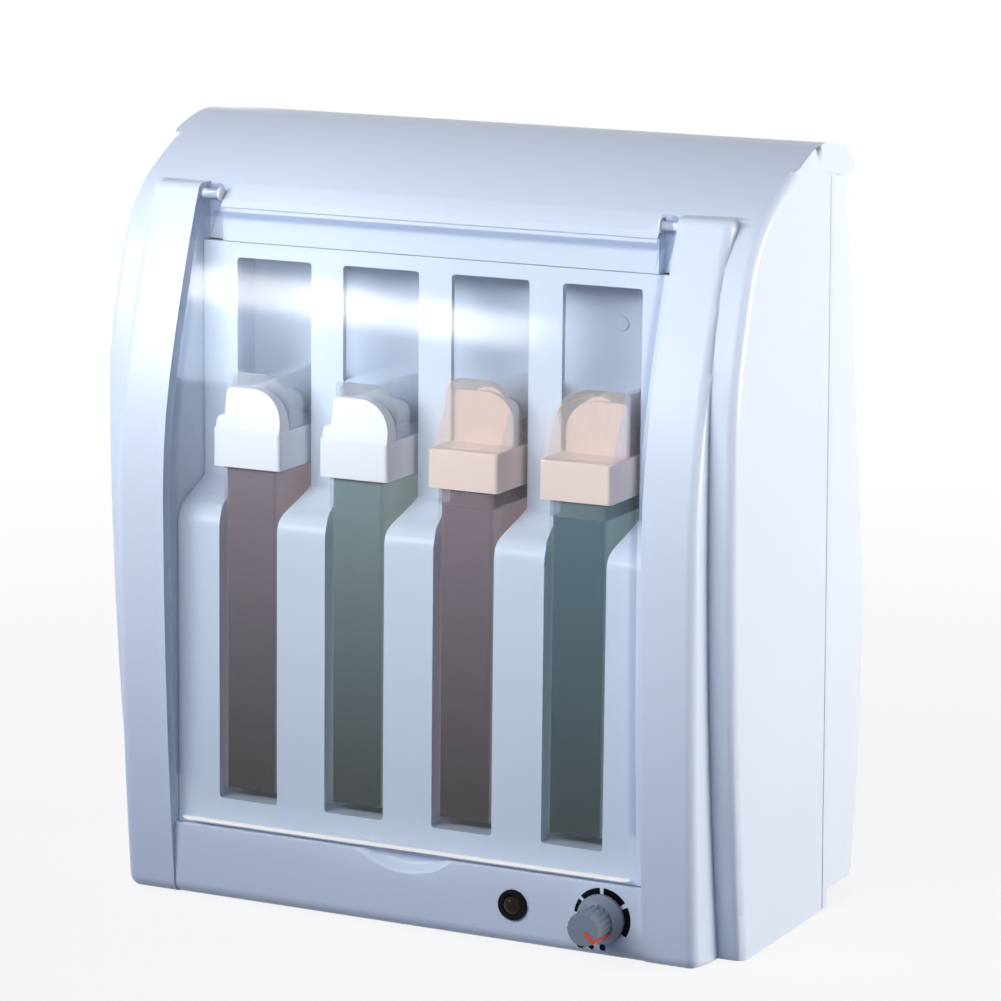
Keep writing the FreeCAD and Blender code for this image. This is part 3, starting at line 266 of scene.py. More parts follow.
def mattMoulding(name, changes):
    look = dict(mattLook, **changes)
    material, tree = newMaterial(name)
    coords = addNode(tree, "ShaderNodeTexCoord")
    grit = addNode(tree, "ShaderNodeTexNoise", {"Scale": 1 / (look["grainMm"] * mm)},
                   {"Vector": coords.outputs["Object"]})
    ramp = addNode(tree, "ShaderNodeValToRGB", None, {"Fac": grit.outputs["Fac"]})
    ramp.color_ramp.elements[0].color = srgb(look["colour"])
    ramp.color_ramp.elements[1].color = srgb(look.get("fleck", look["colour"]))
    bump = addNode(tree, "ShaderNodeBump", {"Strength": look["grain"], "Distance": look["grainDepth"]},
                   {"Height": grit.outputs["Fac"]})
    shader = addNode(tree, "ShaderNodeBsdfPrincipled",
                     {"Roughness": look["roughness"], "IOR": look["ior"],
                      "Specular IOR Level": look["shine"]},
                     {"Base Color": ramp.outputs["Color"], "Normal": bump.outputs["Normal"]})
    addNode(tree, "ShaderNodeOutputMaterial", None, {"Surface": shader.outputs["BSDF"]})
    return material


for name, look in mattMouldings.items():
    finishes[name] = mattMoulding(name, look)

# rolled, pressed or plated metal: fine marks break the reflections, made ten times as coarse as they
# are so that they show; on a drawn piece they are stretched into lines
metalLook = {
    "stretch": (1.0, 1.0, 1.0), "lineMm": 0.3, "coarser": 10, "lineDetail": 4.0, "line": 0.08,
    "lineDepth": 0.2 * mm, "smoother": 0.08, "rougher": 0.1,
}
metals = {
    # painted shade: the wells are made dark to stand for the shadow round the bottles' feet
    "shade_darkened_aluminium": {    # drawn tube: dark, with lines up its length
        "colour": "#4E535C", "roughness": 0.4, "stretch": (12.0, 12.0, 1.0), "lineMm": 0.5,
    },
    "zinc_plated_steel": {"colour": "#B4B6BA", "roughness": 0.3},      # plated: bright and bluish
    "nickel_plated_brass": {"colour": "#C9C7C0", "roughness": 0.2},    # plated: brighter and warmer
    "pressed_steel_can": {"colour": "#9DA1A8", "roughness": 0.35, "lineMm": 0.4},    # pressed: duller
}


def rolledMetal(name, changes):
    look = dict(metalLook, **changes)
    material, tree = newMaterial(name)
    coords = addNode(tree, "ShaderNodeTexCoord")
    turn = addNode(tree, "ShaderNodeMapping", {"Scale": look["stretch"]},
                   {"Vector": coords.outputs["Object"]})
    lines = addNode(tree, "ShaderNodeTexNoise",
                    {"Scale": 1 / (look["coarser"] * look["lineMm"] * mm), "Detail": look["lineDetail"]},
                    {"Vector": turn.outputs["Vector"]})
    rough = addNode(tree, "ShaderNodeMapRange",
                    {"To Min": look["roughness"] - look["smoother"],
                     "To Max": look["roughness"] + look["rougher"]},
                    {"Value": lines.outputs["Fac"]})
    bump = addNode(tree, "ShaderNodeBump", {"Strength": look["line"], "Distance": look["lineDepth"]},
                   {"Height": lines.outputs["Fac"]})
    shader = addNode(tree, "ShaderNodeBsdfPrincipled", {"Base Color": srgb(look["colour"]), "Metallic": 1.0},
                     {"Roughness": rough.outputs["Result"], "Normal": bump.outputs["Normal"]})
    addNode(tree, "ShaderNodeOutputMaterial", None, {"Surface": shader.outputs["BSDF"]})
    return material


for name, look in metals.items():
    finishes[name] = rolledMetal(name, look)

# clear thin-walled moulding: seen straight through, with a skin that shines as its angle grows.
# "skins" says how many skins' gloss one wall shows. A wall may have a haze, the share of light that
# scuffs and film scatter, and thicker film above the level to which it is drained. Its rim may be deeper
# in colour, partly its own edge tint and partly painted shade, and its foot may glow white, a painted
# highlight.
clearLook = {
    "wave": 0.05, "waveMm": 33.33, "waveDetail": 1.0, "waveDepth": 0.5 * mm,
    "streakMm": 4.545, "streakDetail": 3.0, "streakSquash": 0.12, "cloudLow": 0.3, "cloudHigh": 0.7,
    "thinner": 0.85, "thicker": 1.15, "levelBlur": 0.5 * mm, "drainedMore": 5.0,
    "footHeight": 0.7 * mm, "footShare": 0.85, "footPaintedHighlight": 0.85,
}

doorLow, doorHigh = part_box("door_panel")
doorRimShade = {
    "half": doorHigh.x,                # half the door's width
    "top": doorHigh.z - 9.6 * mm,      # where its curved head begins
    "low": doorLow.z + 16 * mm,        # the thin grip below this stays clear
    # the change is this wide, and is over this share of its width before the edge
    "fade": 3.0 * mm, "sideEnd": 0.4, "headEnd": 0.6,
    # how squarely a face looks forward: the rim up to the first, the open face from the second
    "turnedLow": 0.35, "turnedHigh": 0.8,
}
clears = {
    # cast and polished acrylic: crisp, with one strong mirror image, and a greyish rim that is partly
    # its own edge tint and partly painted shade for the dark gap round the door
    "polished_acrylic": {
        "colour": "#FDFEFE", "roughness": 0.085, "ior": 1.49, "skins": 1.1, "rimShadeColour": "#EAEDF3",
        "rim": doorRimShade, "foot": doorLow.z + 0.5 * mm,
    },
    # thin moulded polystyrene, scuffed by handling: milky and bluish, or clearer and warm
    "clear_polystyrene": {
        "colour": "#F9FBFE", "roughness": 0.08, "ior": 1.59, "skins": 3.0, "haze": 0.16, "film": "#DFE8F2",
    },
    "clear_polystyrene_warm": {
        "colour": "#FEFBFA", "roughness": 0.08, "ior": 1.59, "skins": 3.4, "haze": 0.09, "film": "#FFF2EC",
    },
}


# 1 on a sheet's rim and within a few millimetres of its sides and head, 0 on its open face;
# where it is 1, the door's outline takes the rim's painted shade
def rimShadeShare(tree, coords, rim):
    way = addNode(tree, "ShaderNodeSeparateXYZ", None, {"Vector": coords.outputs["Normal"]})
    front = addNode(tree, "ShaderNodeMath", {"operation": "ABSOLUTE"}, {0: way.outputs["Y"]})
    turned = addNode(tree, "ShaderNodeMapRange",
                     {"From Min": rim["turnedLow"], "From Max": rim["turnedHigh"],
                      "To Min": 1.0, "To Max": 0.0},
                     {"Value": front.outputs["Value"]})
    place = addNode(tree, "ShaderNodeSeparateXYZ", None, {"Vector": coords.outputs["Object"]})
    across = addNode(tree, "ShaderNodeMath", {"operation": "ABSOLUTE"}, {0: place.outputs["X"]})
    sides = addNode(tree, "ShaderNodeMapRange",
                    {"From Min": rim["half"] - rim["fade"],
                     "From Max": rim["half"] - rim["fade"] * rim["sideEnd"]},
                    {"Value": across.outputs["Value"]})
    head = addNode(tree, "ShaderNodeMapRange",
                   {"From Min": rim["top"] - rim["fade"],
                    "From Max": rim["top"] - rim["fade"] * rim["headEnd"]},
                   {"Value": place.outputs["Z"]})
    outline = addNode(tree, "ShaderNodeMath", {"operation": "MAXIMUM"},
                      {0: sides.outputs["Result"], 1: head.outputs["Result"]})
    whole = addNode(tree, "ShaderNodeMath", {"operation": "MAXIMUM"},
                    {0: turned.outputs["Result"], 1: outline.outputs["Value"]})
    above = addNode(tree, "ShaderNodeMapRange",
                    {"From Min": rim["low"], "From Max": rim["low"] + rim["fade"]},
                    {"Value": place.outputs["Z"]})
    share = addNode(tree, "ShaderNodeMath", {"operation": "MULTIPLY"},
                    {0: whole.outputs["Value"], 1: above.outputs["Result"]})
    return share.outputs["Value"]


# the share of the wall that its film covers, in streaks that run up it
def filmShare(tree, coords, look):
    streak = addNode(tree, "ShaderNodeMapping", {"Scale": (1.0, 1.0, clearLook["streakSquash"])},
                     {"Vector": coords.outputs["Object"]})
    cloud = addNode(tree, "ShaderNodeTexNoise",
                    {"Scale": 1 / (clearLook["streakMm"] * mm), "Detail": clearLook["streakDetail"]},
                    {"Vector": streak.outputs["Vector"]})
    veil = addNode(tree, "ShaderNodeMapRange",
                   {"From Min": clearLook["cloudLow"], "From Max": clearLook["cloudHigh"],
                    "To Min": look["haze"] * clearLook["thinner"],
                    "To Max": look["haze"] * clearLook["thicker"]},
                   {"Value": cloud.outputs["Fac"]})
    if "drained" not in look:
        return veil.outputs["Result"]
    place = addNode(tree, "ShaderNodeSeparateXYZ", None, {"Vector": coords.outputs["Object"]})
    above = addNode(tree, "ShaderNodeMapRange",
                    {"From Min": look["drained"] - clearLook["levelBlur"],
                     "From Max": look["drained"] + clearLook["levelBlur"],
                     "To Max": clearLook["drainedMore"]},
                    {"Value": place.outputs["Z"]})
    more = addNode(tree, "ShaderNodeMath", {"operation": "MULTIPLY_ADD", "use_clamp": True},
                   {0: veil.outputs["Result"], 1: above.outputs["Result"], 2: veil.outputs["Result"]})
    return more.outputs["Value"]


def clearPlastic(name, look):
    material, tree = newMaterial(name)
    coords = addNode(tree, "ShaderNodeTexCoord")
    wave = addNode(tree, "ShaderNodeTexNoise",
                   {"Scale": 1 / (clearLook["waveMm"] * mm), "Detail": clearLook["waveDetail"]},
                   {"Vector": coords.outputs["Object"]})
    bump = addNode(tree, "ShaderNodeBump",
                   {"Strength": clearLook["wave"], "Distance": clearLook["waveDepth"]},
                   {"Height": wave.outputs["Fac"]})
    # the outer face carries the gloss of its skins, the inner one lets all light through
    shine = addNode(tree, "ShaderNodeFresnel", {"IOR": look["ior"]}, {"Normal": bump.outputs["Normal"]})
    face = addNode(tree, "ShaderNodeNewGeometry")
    outer = addNode(tree, "ShaderNodeMath", {"operation": "SUBTRACT", 0: 1.0},
                    {1: face.outputs["Backfacing"]})
    skins = addNode(tree, "ShaderNodeMath", {"operation": "MULTIPLY", 1: look["skins"], "use_clamp": True},
                    {0: shine.outputs["Fac"]})
    share = addNode(tree, "ShaderNodeMath", {"operation": "MULTIPLY"},
                    {0: skins.outputs["Value"], 1: outer.outputs["Value"]})
    through = addNode(tree, "ShaderNodeBsdfTransparent", {"Color": srgb(look["colour"])})
    wall = through.outputs["BSDF"]
    if "rim" in look:
        # painted shade: the rim and the band along the door's sides and head take this greyer colour
        deep = addNode(tree, "ShaderNodeBsdfTransparent", {"Color": srgb(look["rimShadeColour"])})
        rimShaded = addNode(tree, "ShaderNodeMixShader", None,
                        {0: rimShadeShare(tree, coords, look["rim"]), 1: wall, 2: deep.outputs["BSDF"]})
        wall = rimShaded.outputs["Shader"]
    if "haze" in look:
        scatter = addNode(tree, "ShaderNodeBsdfDiffuse", {"Color": srgb(look["film"])})
        hazy = addNode(tree, "ShaderNodeMixShader", None,
                       {0: filmShare(tree, coords, look), 1: wall, 2: scatter.outputs["BSDF"]})
        wall = hazy.outputs["Shader"]
    gloss = addNode(tree, "ShaderNodeBsdfGlossy", {"Color": white, "Roughness": look["roughness"]},
                    {"Normal": bump.outputs["Normal"]})
    both = addNode(tree, "ShaderNodeMixShader", None,
                   {0: share.outputs["Value"], 1: wall, 2: gloss.outputs["BSDF"]})
    whole = both.outputs["Shader"]
    # painted highlight: the door's foot glows white as a bright line along its lower edge, though nothing
    # lights it there
    if "foot" in look:
        level = addNode(tree, "ShaderNodeSeparateXYZ", None, {"Vector": coords.outputs["Object"]})
        low = addNode(tree, "ShaderNodeMapRange",
                      {"From Min": look["foot"], "From Max": look["foot"] + clearLook["footHeight"],
                       "To Min": clearLook["footShare"], "To Max": 0.0},
                      {"Value": level.outputs["Z"]})
        paintedHighlight = addNode(tree, "ShaderNodeEmission", {"Color": white, "Strength": clearLook["footPaintedHighlight"]})
        lit = addNode(tree, "ShaderNodeMixShader", None,
                      {0: low.outputs["Result"], 1: whole, 2: paintedHighlight.outputs["Emission"]})
        whole = lit.outputs["Shader"]
    addNode(tree, "ShaderNodeOutputMaterial", None, {"Surface": whole})
    return material


for name, look in clears.items():
    finishes[name] = clearPlastic(name, look)

# warm depilatory wax: deep colour, darker towards its foot and paler towards its top, slow clouding,
# and hardly any gloss of its own, since it wets the bottle's wall
waxLook = {
    "roughness": 0.35, "ior": 1.45, "shine": 0.1, "rampStart": 0.05, "rampEnd": 0.95,
    "cloud": 0.1, "cloudMm": 16.67, "cloudDetail": 3.0, "cloudDepth": 0.5 * mm,
    "sideLow": 0.5, "sideHigh": 0.95, "sideShare": 0.52, "sidePaintedGlow": 0.8,
}


def warmWax(name, look, low, high):
    material, tree = newMaterial(name)
    coords = addNode(tree, "ShaderNodeTexCoord")
    place = addNode(tree, "ShaderNodeSeparateXYZ", None, {"Vector": coords.outputs["Object"]})
    height = addNode(tree, "ShaderNodeMapRange", {"From Min": low.z, "From Max": high.z},
                     {"Value": place.outputs["Z"]})
    ramp = addNode(tree, "ShaderNodeValToRGB", None, {"Fac": height.outputs["Result"]})
    ramp.color_ramp.elements[0].color = srgb(look["foot"])
    ramp.color_ramp.elements[1].color = srgb(look["top"])
    ramp.color_ramp.elements[0].position = waxLook["rampStart"]
    ramp.color_ramp.elements[1].position = waxLook["rampEnd"]
    cloud = addNode(tree, "ShaderNodeTexNoise",
                    {"Scale": 1 / (waxLook["cloudMm"] * mm), "Detail": waxLook["cloudDetail"]},
                    {"Vector": coords.outputs["Object"]})
    bump = addNode(tree, "ShaderNodeBump", {"Strength": waxLook["cloud"], "Distance": waxLook["cloudDepth"]},
                   {"Height": cloud.outputs["Fac"]})
    # the narrow sides get a painted glow in the film's colour, so they look paler than the front
    way = addNode(tree, "ShaderNodeSeparateXYZ", None, {"Vector": coords.outputs["Normal"]})
    across = addNode(tree, "ShaderNodeMath", {"operation": "ABSOLUTE"}, {0: way.outputs["X"]})
    paintedSideLight = addNode(tree, "ShaderNodeMapRange",
                    {"From Min": waxLook["sideLow"], "From Max": waxLook["sideHigh"],
                     "To Max": waxLook["sideShare"]},
                    {"Value": across.outputs["Value"]})
    deep = addNode(tree, "ShaderNodeBsdfPrincipled",
                   {"Roughness": waxLook["roughness"], "IOR": waxLook["ior"],
                    "Specular IOR Level": waxLook["shine"]},
                   {"Base Color": ramp.outputs["Color"], "Normal": bump.outputs["Normal"]})
    # painted light: the wax's sides glow, though no lamp lights them
    glow = addNode(tree, "ShaderNodeEmission",
                   {"Color": srgb(look["film"]), "Strength": waxLook["sidePaintedGlow"]})
    shader = addNode(tree, "ShaderNodeMixShader", None,
                     {0: paintedSideLight.outputs["Result"], 1: deep.outputs["BSDF"], 2: glow.outputs["Emission"]})
    addNode(tree, "ShaderNodeOutputMaterial", None, {"Surface": shader.outputs["Shader"]})
    return material


print("materials made")

# pieces that keep their own node's mesh
plainPieces = {
    "base_plate": "grained_abs_base", "rubber_feet": "moulded_rubber", "base_screws": "zinc_plated_steel",
    "cover_screws": "zinc_plated_steel", "thermal_cutout": "phenolic_moulding",
    "control_board": "masked_laminate", "board_parts": "moulded_components", "terminal_block": "cream_nylon",
    "cord_gland": "black_nylon", "heated_chamber": "powder_coated_aluminium",
    "potentiometer": "pressed_steel_can", "potentiometer_nut": "nickel_plated_brass",
    "knob_shaft": "pressed_steel_can", "hinge_pin_left": "white_polypropylene",
    "hinge_pin_right": "white_polypropylene",
}
for nodeName, finish in plainPieces.items():
    paint(nodes[nodeName], finishes[finish])

# wax at its top and foot, the film it leaves on the bottle's wall, which also tints the painted glow
# on the wax's narrow sides, and the cartridge's mouldings
cartridgeLook = {
    1: {"top": "#8E7B83", "foot": "#150D0F", "film": "#B7A3AA", "kind": "white"},
    2: {"top": "#869897", "foot": "#101413", "film": "#A9BAB8", "kind": "white"},
    3: {"top": "#8B767E", "foot": "#140B0E", "film": "#B79FA6", "kind": "peach"},
    4: {"top": "#4A6E79", "foot": "#04181C", "film": "#93B0B6", "kind": "peach"},
}
bottleLook = {"colour": "#FAFCFD", "roughness": 0.12, "ior": 1.5, "skins": 0.3, "haze": 0.05}
capFinish = {"white": "clear_polystyrene", "peach": "clear_polystyrene_warm"}
cartridgeEdges = {"head": 0.35 * mm, "cap": 0.25 * mm}


def dressCartridge(bay, look):
    low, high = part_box("wax_%d" % bay)
    paint(nodes["wax_%d" % bay], warmWax("wax_%d" % bay, look, low, high))
    # painted shade: the well's dark finish stands for the shadow round the bottle's foot
    paint(nodes["warming_well_%d" % bay], finishes["shade_darkened_aluminium"])
    paint(nodes["heating_pad_%d" % bay], finishes["silicone_heating_mat"])
    owner = "cartridge_%d" % bay
    kind = look["kind"]
    moulding = finishes[kind + "_polypropylene"]
    bottle = clearPlastic("filmed_bottle_%d" % bay, dict(bottleLook, film=look["film"], drained=high.z))
    dressCopy("bottle_%d" % bay, bottle, "bottle_clear", owner)
    dressCopy("head_%d" % bay, moulding, "head_" + kind, owner, edge=cartridgeEdges["head"])
    dressCopy("roller_%d" % bay, moulding, "roller_" + kind, "roller_body_%d" % bay)
    dressCopy("cap_%d" % bay, finishes[capFinish[kind]], "cap_clear", "cap_body_%d" % bay,
              edge=cartridgeEdges["cap"])


for bay, look in cartridgeLook.items():
    dressCartridge(bay, look)
print("cartridges dressed")

# the housing's long curves stay finely stepped, so only truly flat parts of it are joined
dressCopy("front_housing", finishes["moulded_abs_housing"], "housing_white", "housing", angle=24, flat=0.02)
dressCopy("bay_panel", finishes["moulded_abs_panel"], "panel_white", "housing")
dressCopy("rear_cover", finishes["moulded_abs_cover"], "cover_white", "housing")
dressCopy("door_panel", finishes["polished_acrylic"], "door_clear", "door", edge=0.35 * mm)
dressCopy("knob", finishes["grey_abs_knob"], "knob_grey", "control_knob")
dressCopy("knob_pointer", finishes["orange_insert"], "pointer_orange", "control_knob")
dressCopy("lamp_holder", finishes["black_bezel"], "lamp_black", "housing")
dressCopy("lamp_lens", finishes["dark_red_lens"], "lamp_red", "housing")
print("housing dressed")

# print on the apron round the knob: four segments that widen clockwise, and three small marks.
# Angles are in degrees, anticlockwise from the right, and "right" and "up" count from the knob's middle.
dialLook = {
    "outer": 11.3 * mm, "thick": 0.35 * mm, "step": 4.0, "markStep": 30.0,
    "segments": (
        {"inner": 9.7 * mm, "from": 175, "to": 147},
        {"inner": 9.0 * mm, "from": 140, "to": 96},
        {"inner": 8.6 * mm, "from": 88, "to": 37},
        {"inner": 8.0 * mm, "from": 28, "to": -33},
    ),
    "marks": (
        {"right": -8.6 * mm, "up": -10.9 * mm, "outer": 1.6 * mm, "inner": 0.7 * mm, "from": 180, "to": 360},
        {"right": -4.3 * mm, "up": -11.2 * mm, "outer": 1.1 * mm, "inner": 0.0, "from": 0, "to": 360},
        {"right": 0.2 * mm, "up": -11.1 * mm, "outer": 1.2 * mm, "inner": 0.0, "from": 0, "to": 360},
    ),
}


# a plane drawn together to a point, the point drawn out to a radial edge, the edge spun round the
# centre, and the ring given its thickness
def ringPiece(centre, inner, outer, fromAngle, toAngle, step, thick):
    start = math.radians(fromAngle)
    outward = Vector((math.cos(start), 0, math.sin(start)))
    deselect()
    bpy.ops.mesh.primitive_plane_add(size=1.0 * mm, location=centre + outward * inner)
    piece = bpy.context.object
    bpy.ops.object.transform_apply(location=True, rotation=True, scale=True)
    bpy.ops.object.mode_set(mode="EDIT")
    bpy.ops.mesh.select_all(action="SELECT")
    bpy.ops.mesh.merge(type="CENTER")
    bpy.ops.mesh.extrude_vertices_move(TRANSFORM_OT_translate={"value": outward * (outer - inner)})
    bpy.ops.mesh.select_all(action="SELECT")
    turn = toAngle - fromAngle
    steps = max(2, round(abs(turn) / step))
    bpy.ops.mesh.spin(steps=steps, angle=math.radians(turn), center=centre, axis=(0, 1, 0))
    bpy.ops.mesh.select_all(action="SELECT")
    bpy.ops.mesh.remove_doubles(threshold=mergeGap)
    bpy.ops.mesh.select_all(action="SELECT")
    bpy.ops.mesh.extrude_region_move(TRANSFORM_OT_translate={"value": (0, thick, 0)})
    bpy.ops.mesh.select_all(action="SELECT")
    bpy.ops.mesh.normals_make_consistent(inside=False)
    bpy.ops.object.mode_set(mode="OBJECT")
    return piece


def makeDial(look):
    low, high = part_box("knob")
    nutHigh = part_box("potentiometer_nut")[1]    # the nut's rear face lies on the apron
    centre = Vector(((low.x + high.x) / 2, nutHigh.y, (low.z + high.z) / 2))
    pieces = []
    for part in look["segments"]:
        pieces.append(ringPiece(centre, part["inner"], look["outer"], part["from"], part["to"],
                                look["step"], look["thick"]))
    for mark in look["marks"]:
        middle = centre + Vector((mark["right"], 0, mark["up"]))
        pieces.append(ringPiece(middle, mark["inner"], mark["outer"], mark["from"], mark["to"],
                                look["markStep"], look["thick"]))
    deselect()
    for piece in pieces:
        piece.select_set(True)
    bpy.context.view_layer.objects.active = pieces[0]
    bpy.ops.object.join()
    dial = bpy.context.object
    dial.name = "dial_print"
    paint(dial, finishes["pad_printed_ink"])
    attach(dial, "housing")


makeDial(dialLook)
print("dial printed")

# blind rivets that close the liner's fixing holes
rivetLook = {
    "radius": 2.9 * mm, "rise": 0.7 * mm, "stem": 1.9 * mm, "tail": 1.1 * mm, "rounding": 0.3 * mm,
    "roundingSteps": 3, "sides": 24, "angle": 30, "across": 60 * mm, "heights": (175 * mm, 225 * mm),
    "liner": 1.2 * mm,    # the liner's back wall
}


# a flat head in front of the wall, and a stem that reaches back into its hole
def makeRivet(look, x, faceY, z):
    deselect()
    bpy.ops.mesh.primitive_cylinder_add(vertices=look["sides"], radius=look["radius"], depth=look["rise"],
                                        location=(x, faceY - look["rise"] / 2, z),
                                        rotation=(math.radians(90), 0, 0))
    rivet = bpy.context.object
    bpy.ops.object.transform_apply(location=True, rotation=True, scale=True)
    bpy.ops.object.mode_set(mode="EDIT")
    bpy.ops.mesh.select_mode(type="FACE")
    bpy.ops.mesh.select_all(action="DESELECT")
    bpy.ops.object.mode_set(mode="OBJECT")
    for polygon in rivet.data.polygons:
        polygon.select = polygon.normal.y > 0.9    # the face that lies on the wall
    bpy.ops.object.mode_set(mode="EDIT")
    bpy.ops.mesh.inset(thickness=look["radius"] - look["stem"])
    bpy.ops.mesh.extrude_region_move(TRANSFORM_OT_translate={"value": (0, look["tail"], 0)})
    bpy.ops.object.mode_set(mode="OBJECT")
    bpy.ops.object.modifier_add(type="BEVEL")
    bevel = rivet.modifiers[-1]
    bevel.width = look["rounding"]
    bevel.segments = look["roundingSteps"]
    bpy.ops.object.modifier_apply(modifier=bevel.name)
    bpy.ops.object.shade_smooth_by_angle(angle=math.radians(look["angle"]))
    rivet.name = "liner_rivet"
    return rivet


def makeRivets(look):
    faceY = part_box("heated_chamber")[1].y - look["liner"]
    places = [(x, z) for x in (-look["across"], look["across"]) for z in look["heights"]]
    firstX, firstZ = places[0]
    rivets = [makeRivet(look, firstX, faceY, firstZ)]
    for x, z in places[1:]:
        rivet = rivets[0].copy()
        rivet.data = rivets[0].data.copy()
        rivet.data.transform(Matrix.Translation((x - firstX, 0, z - firstZ)))
        bpy.context.scene.collection.objects.link(rivet)
        rivets.append(rivet)
    for rivet in rivets:
        paint(rivet, finishes["powder_coated_aluminium"])
        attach(rivet, "housing")


makeRivets(rivetLook)
print("rivets set")

# the room looks white wherever it is seen, while the light that it gives is weaker and bluish, and
# comes mostly from one side
roomLook = {
    "sky": "#84AAFF", "washFrom": (-0.42, -0.84, -0.35), "washLow": -0.4, "dim": 0.05, "bright": 0.29,
}
# the paper's colour as it is seen, and as it throws light back
floorLook = {
    "size": 40.0, "paper": "#F4F6FA", "bounce": "#5F6C88", "fibreMm": 2.5, "fibre": 0.05,
    "whiteShare": 0.86, "shadowStart": 0.25, "shadowReach": 0.9,
}


# rays that see the white room: from the camera, mirrored, or let through
def seenRays(tree, path):
    mirrored = addNode(tree, "ShaderNodeMath", {"operation": "MAXIMUM"},
                       {0: path.outputs["Is Camera Ray"], 1: path.outputs["Is Glossy Ray"]})
    every = addNode(tree, "ShaderNodeMath", {"operation": "MAXIMUM"},
                    {0: mirrored.outputs["Value"], 1: path.outputs["Is Transmission Ray"]})
    return every.outputs["Value"]


# uncoated white paper: matt, with a faint fibre
def makeFloor(look):
    bpy.ops.mesh.primitive_plane_add(size=look["size"], location=(0, 0, 0))
    floor = bpy.context.object
    floor.name = "floor"
    material, tree = newMaterial("paper_floor")
    coords = addNode(tree, "ShaderNodeTexCoord")
    fibre = addNode(tree, "ShaderNodeTexNoise", {"Scale": 1 / (look["fibreMm"] * mm)},
                    {"Vector": coords.outputs["Object"]})
    bump = addNode(tree, "ShaderNodeBump", {"Strength": look["fibre"]}, {"Height": fibre.outputs["Fac"]})
    path = addNode(tree, "ShaderNodeLightPath")
    paper = addNode(tree, "ShaderNodeBsdfDiffuse", {"Color": srgb(look["paper"])},
                    {"Normal": bump.outputs["Normal"]})
    bounce = addNode(tree, "ShaderNodeBsdfDiffuse", {"Color": srgb(look["bounce"])})
    matt = addNode(tree, "ShaderNodeMixShader", None,
                   {0: path.outputs["Is Camera Ray"], 1: bounce.outputs["BSDF"], 2: paper.outputs["BSDF"]})
    glow = addNode(tree, "ShaderNodeEmission", {"Color": white})
    # the shadow's paper fades into plain white away from the heater
    far = addNode(tree, "ShaderNodeVectorMath", {"operation": "LENGTH"}, {0: coords.outputs["Object"]})
    fade = addNode(tree, "ShaderNodeMapRange",
                   {"From Min": look["shadowStart"], "From Max": look["shadowReach"],
                    "To Min": look["whiteShare"]},
                   {"Value": far.outputs["Value"]})
    share = addNode(tree, "ShaderNodeMath", {"operation": "MULTIPLY"},
                    {0: seenRays(tree, path), 1: fade.outputs["Result"]})
    both = addNode(tree, "ShaderNodeMixShader", None,
                   {0: share.outputs["Value"], 1: matt.outputs["Shader"], 2: glow.outputs["Emission"]})
    addNode(tree, "ShaderNodeOutputMaterial", None, {"Surface": both.outputs["Shader"]})
    paint(floor, material)


def makeWorld(look):
    world = bpy.data.worlds.new("studio")
    bpy.context.scene.world = world
    world.use_nodes = True
    tree = world.node_tree
    tree.nodes.clear()
    path = addNode(tree, "ShaderNodeLightPath")
    coords = addNode(tree, "ShaderNodeTexCoord")
    facing = addNode(tree, "ShaderNodeVectorMath", {"operation": "DOT_PRODUCT", 1: look["washFrom"]},
                     {0: coords.outputs["Generated"]})
    wash = addNode(tree, "ShaderNodeMapRange",
                   {"From Min": look["washLow"], "To Min": look["dim"], "To Max": look["bright"]},
                   {"Value": facing.outputs["Value"]})
    soft = addNode(tree, "ShaderNodeBackground", {"Color": srgb(look["sky"])},
                   {"Strength": wash.outputs["Result"]})
    plain = addNode(tree, "ShaderNodeBackground", {"Color": white})
    both = addNode(tree, "ShaderNodeMixShader", None,
                   {0: seenRays(tree, path), 1: soft.outputs["Background"], 2: plain.outputs["Background"]})
    addNode(tree, "ShaderNodeOutputWorld", None, {"Surface": both.outputs["Shader"]})


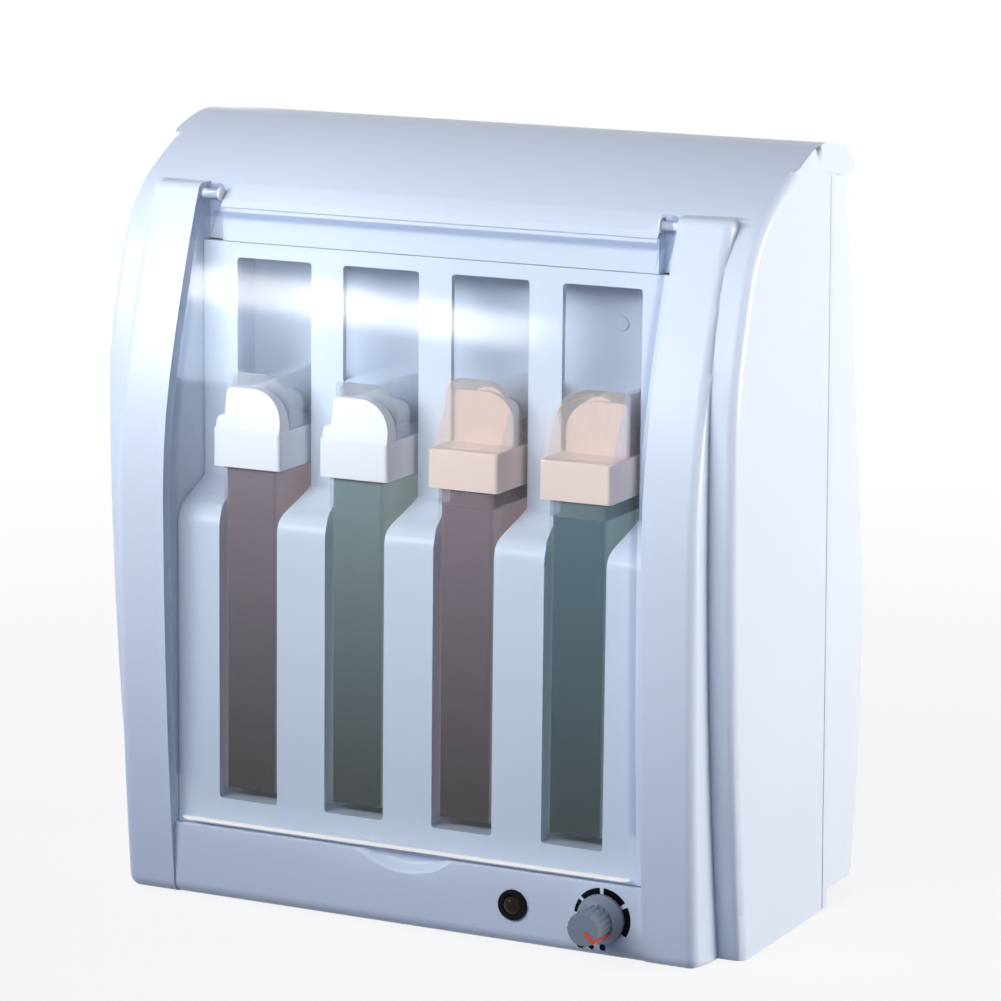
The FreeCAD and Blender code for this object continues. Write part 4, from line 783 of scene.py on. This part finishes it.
# places in metres, size as width and height, power in watts, spread in degrees; a lamp that isn't
# mirrored lights the heater without showing in the door and the gloss
lampLook = {
    "side": {    # broad light on the right flank
        "at": (1.6, 0.62, 0.36), "to": (0.1, 0.04, 0.33), "size": (1.2, 0.7),
        "power": 7.2, "spread": 75, "tint": "#FFFAF5", "mirrored": True,
    },
    "front": {    # fills the panel behind the door
        "at": (-0.22, -0.65, 0.43), "to": (-0.02, -0.03, 0.29), "size": (0.9, 0.12),
        "power": 1.38, "spread": 75, "tint": "#FFFFFF", "mirrored": False,
    },
    "strip": {    # the long reflection across the door
        "at": (-0.93, -1.33, 0.872), "to": (-0.07, -0.05, 0.236), "size": (0.56, 0.08),
        "power": 1.95, "spread": 180, "tint": "#FFFFFF", "mirrored": True,
    },
    "rear": {    # lifts the back and the left flank
        "at": (-1.25, 1.15, 0.24), "to": (0, 0.05, 0.15), "size": (0.9, 0.6),
        "power": 9.0, "spread": 180, "tint": "#FFFFFF", "mirrored": True,
    },
    "card": {    # the bluish sheen over the windows at the left
        "at": (-1.03, -1.37, 0.73), "to": (-0.07, -0.03, 0.21), "size": (0.36, 0.30),
        "power": 2.4, "spread": 180, "tint": "#C8DAF4", "mirrored": True,
    },
    "window": {    # a narrow beam on the liner behind the first window
        "at": (0.30, -0.80, 0.36), "to": (-0.085, 0.0, 0.215), "size": (0.06, 0.06),
        "power": 0.005, "spread": 8, "tint": "#FFFFFF", "mirrored": False,
    },
}


def areaLamp(name, look):
    data = bpy.data.lights.new(name, "AREA")
    data.shape = "RECTANGLE"
    data.size, data.size_y = look["size"]
    data.energy = look["power"]
    data.spread = math.radians(look["spread"])
    data.color = srgb(look["tint"])[:3]
    lamp = bpy.data.objects.new(name, data)
    bpy.context.scene.collection.objects.link(lamp)
    lamp.visible_glossy = look["mirrored"]
    lamp.location = look["at"]
    lamp.rotation_euler = (Vector(look["to"]) - Vector(look["at"])).to_track_quat("-Z", "Y").to_euler()


makeFloor(floorLook)
makeWorld(roomLook)
for name, look in lampLook.items():
    areaLamp(name, look)
print("stage made")

# the place is in millimetres, counted along Y from the ribs' front plane, which lies a little behind
# the front of the heads' collars; angles are in degrees, and the lens is in millimetres
cameraLook = {
    "place": (708.2, -1368.3, 462.7), "ribsBehindCollar": 1.5, "azimuth": 26.12, "elevation": 11.03,
    "roll": 0.60, "lens": 154.4, "sensor": 36.0, "farEnd": 20.0,
}


def makeCamera(look):
    az, el, roll = (math.radians(look[k]) for k in ("azimuth", "elevation", "roll"))
    back = Vector((math.sin(az) * math.cos(el), -math.cos(az) * math.cos(el), math.sin(el)))
    right = (-back).cross(Vector((0, 0, 1))).normalized()
    up = back.cross(right)
    turnedRight = right * math.cos(roll) + up * math.sin(roll)
    turnedUp = up * math.cos(roll) - right * math.sin(roll)
    data = bpy.data.cameras.new("camera")
    data.sensor_width = look["sensor"]
    data.lens = look["lens"]
    data.clip_end = look["farEnd"]
    camera = bpy.data.objects.new("camera", data)
    bpy.context.scene.collection.objects.link(camera)
    axes = Matrix((turnedRight, turnedUp, back)).transposed().to_4x4()
    x, y, z = look["place"]
    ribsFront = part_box("head_1")[0].y + look["ribsBehindCollar"] * mm
    camera.matrix_world = Matrix.Translation((x * mm, y * mm + ribsFront, z * mm)) @ axes
    bpy.context.scene.camera = camera


makeCamera(cameraLook)
bpy.context.scene.view_settings.view_transform = "Standard"
print("camera made")
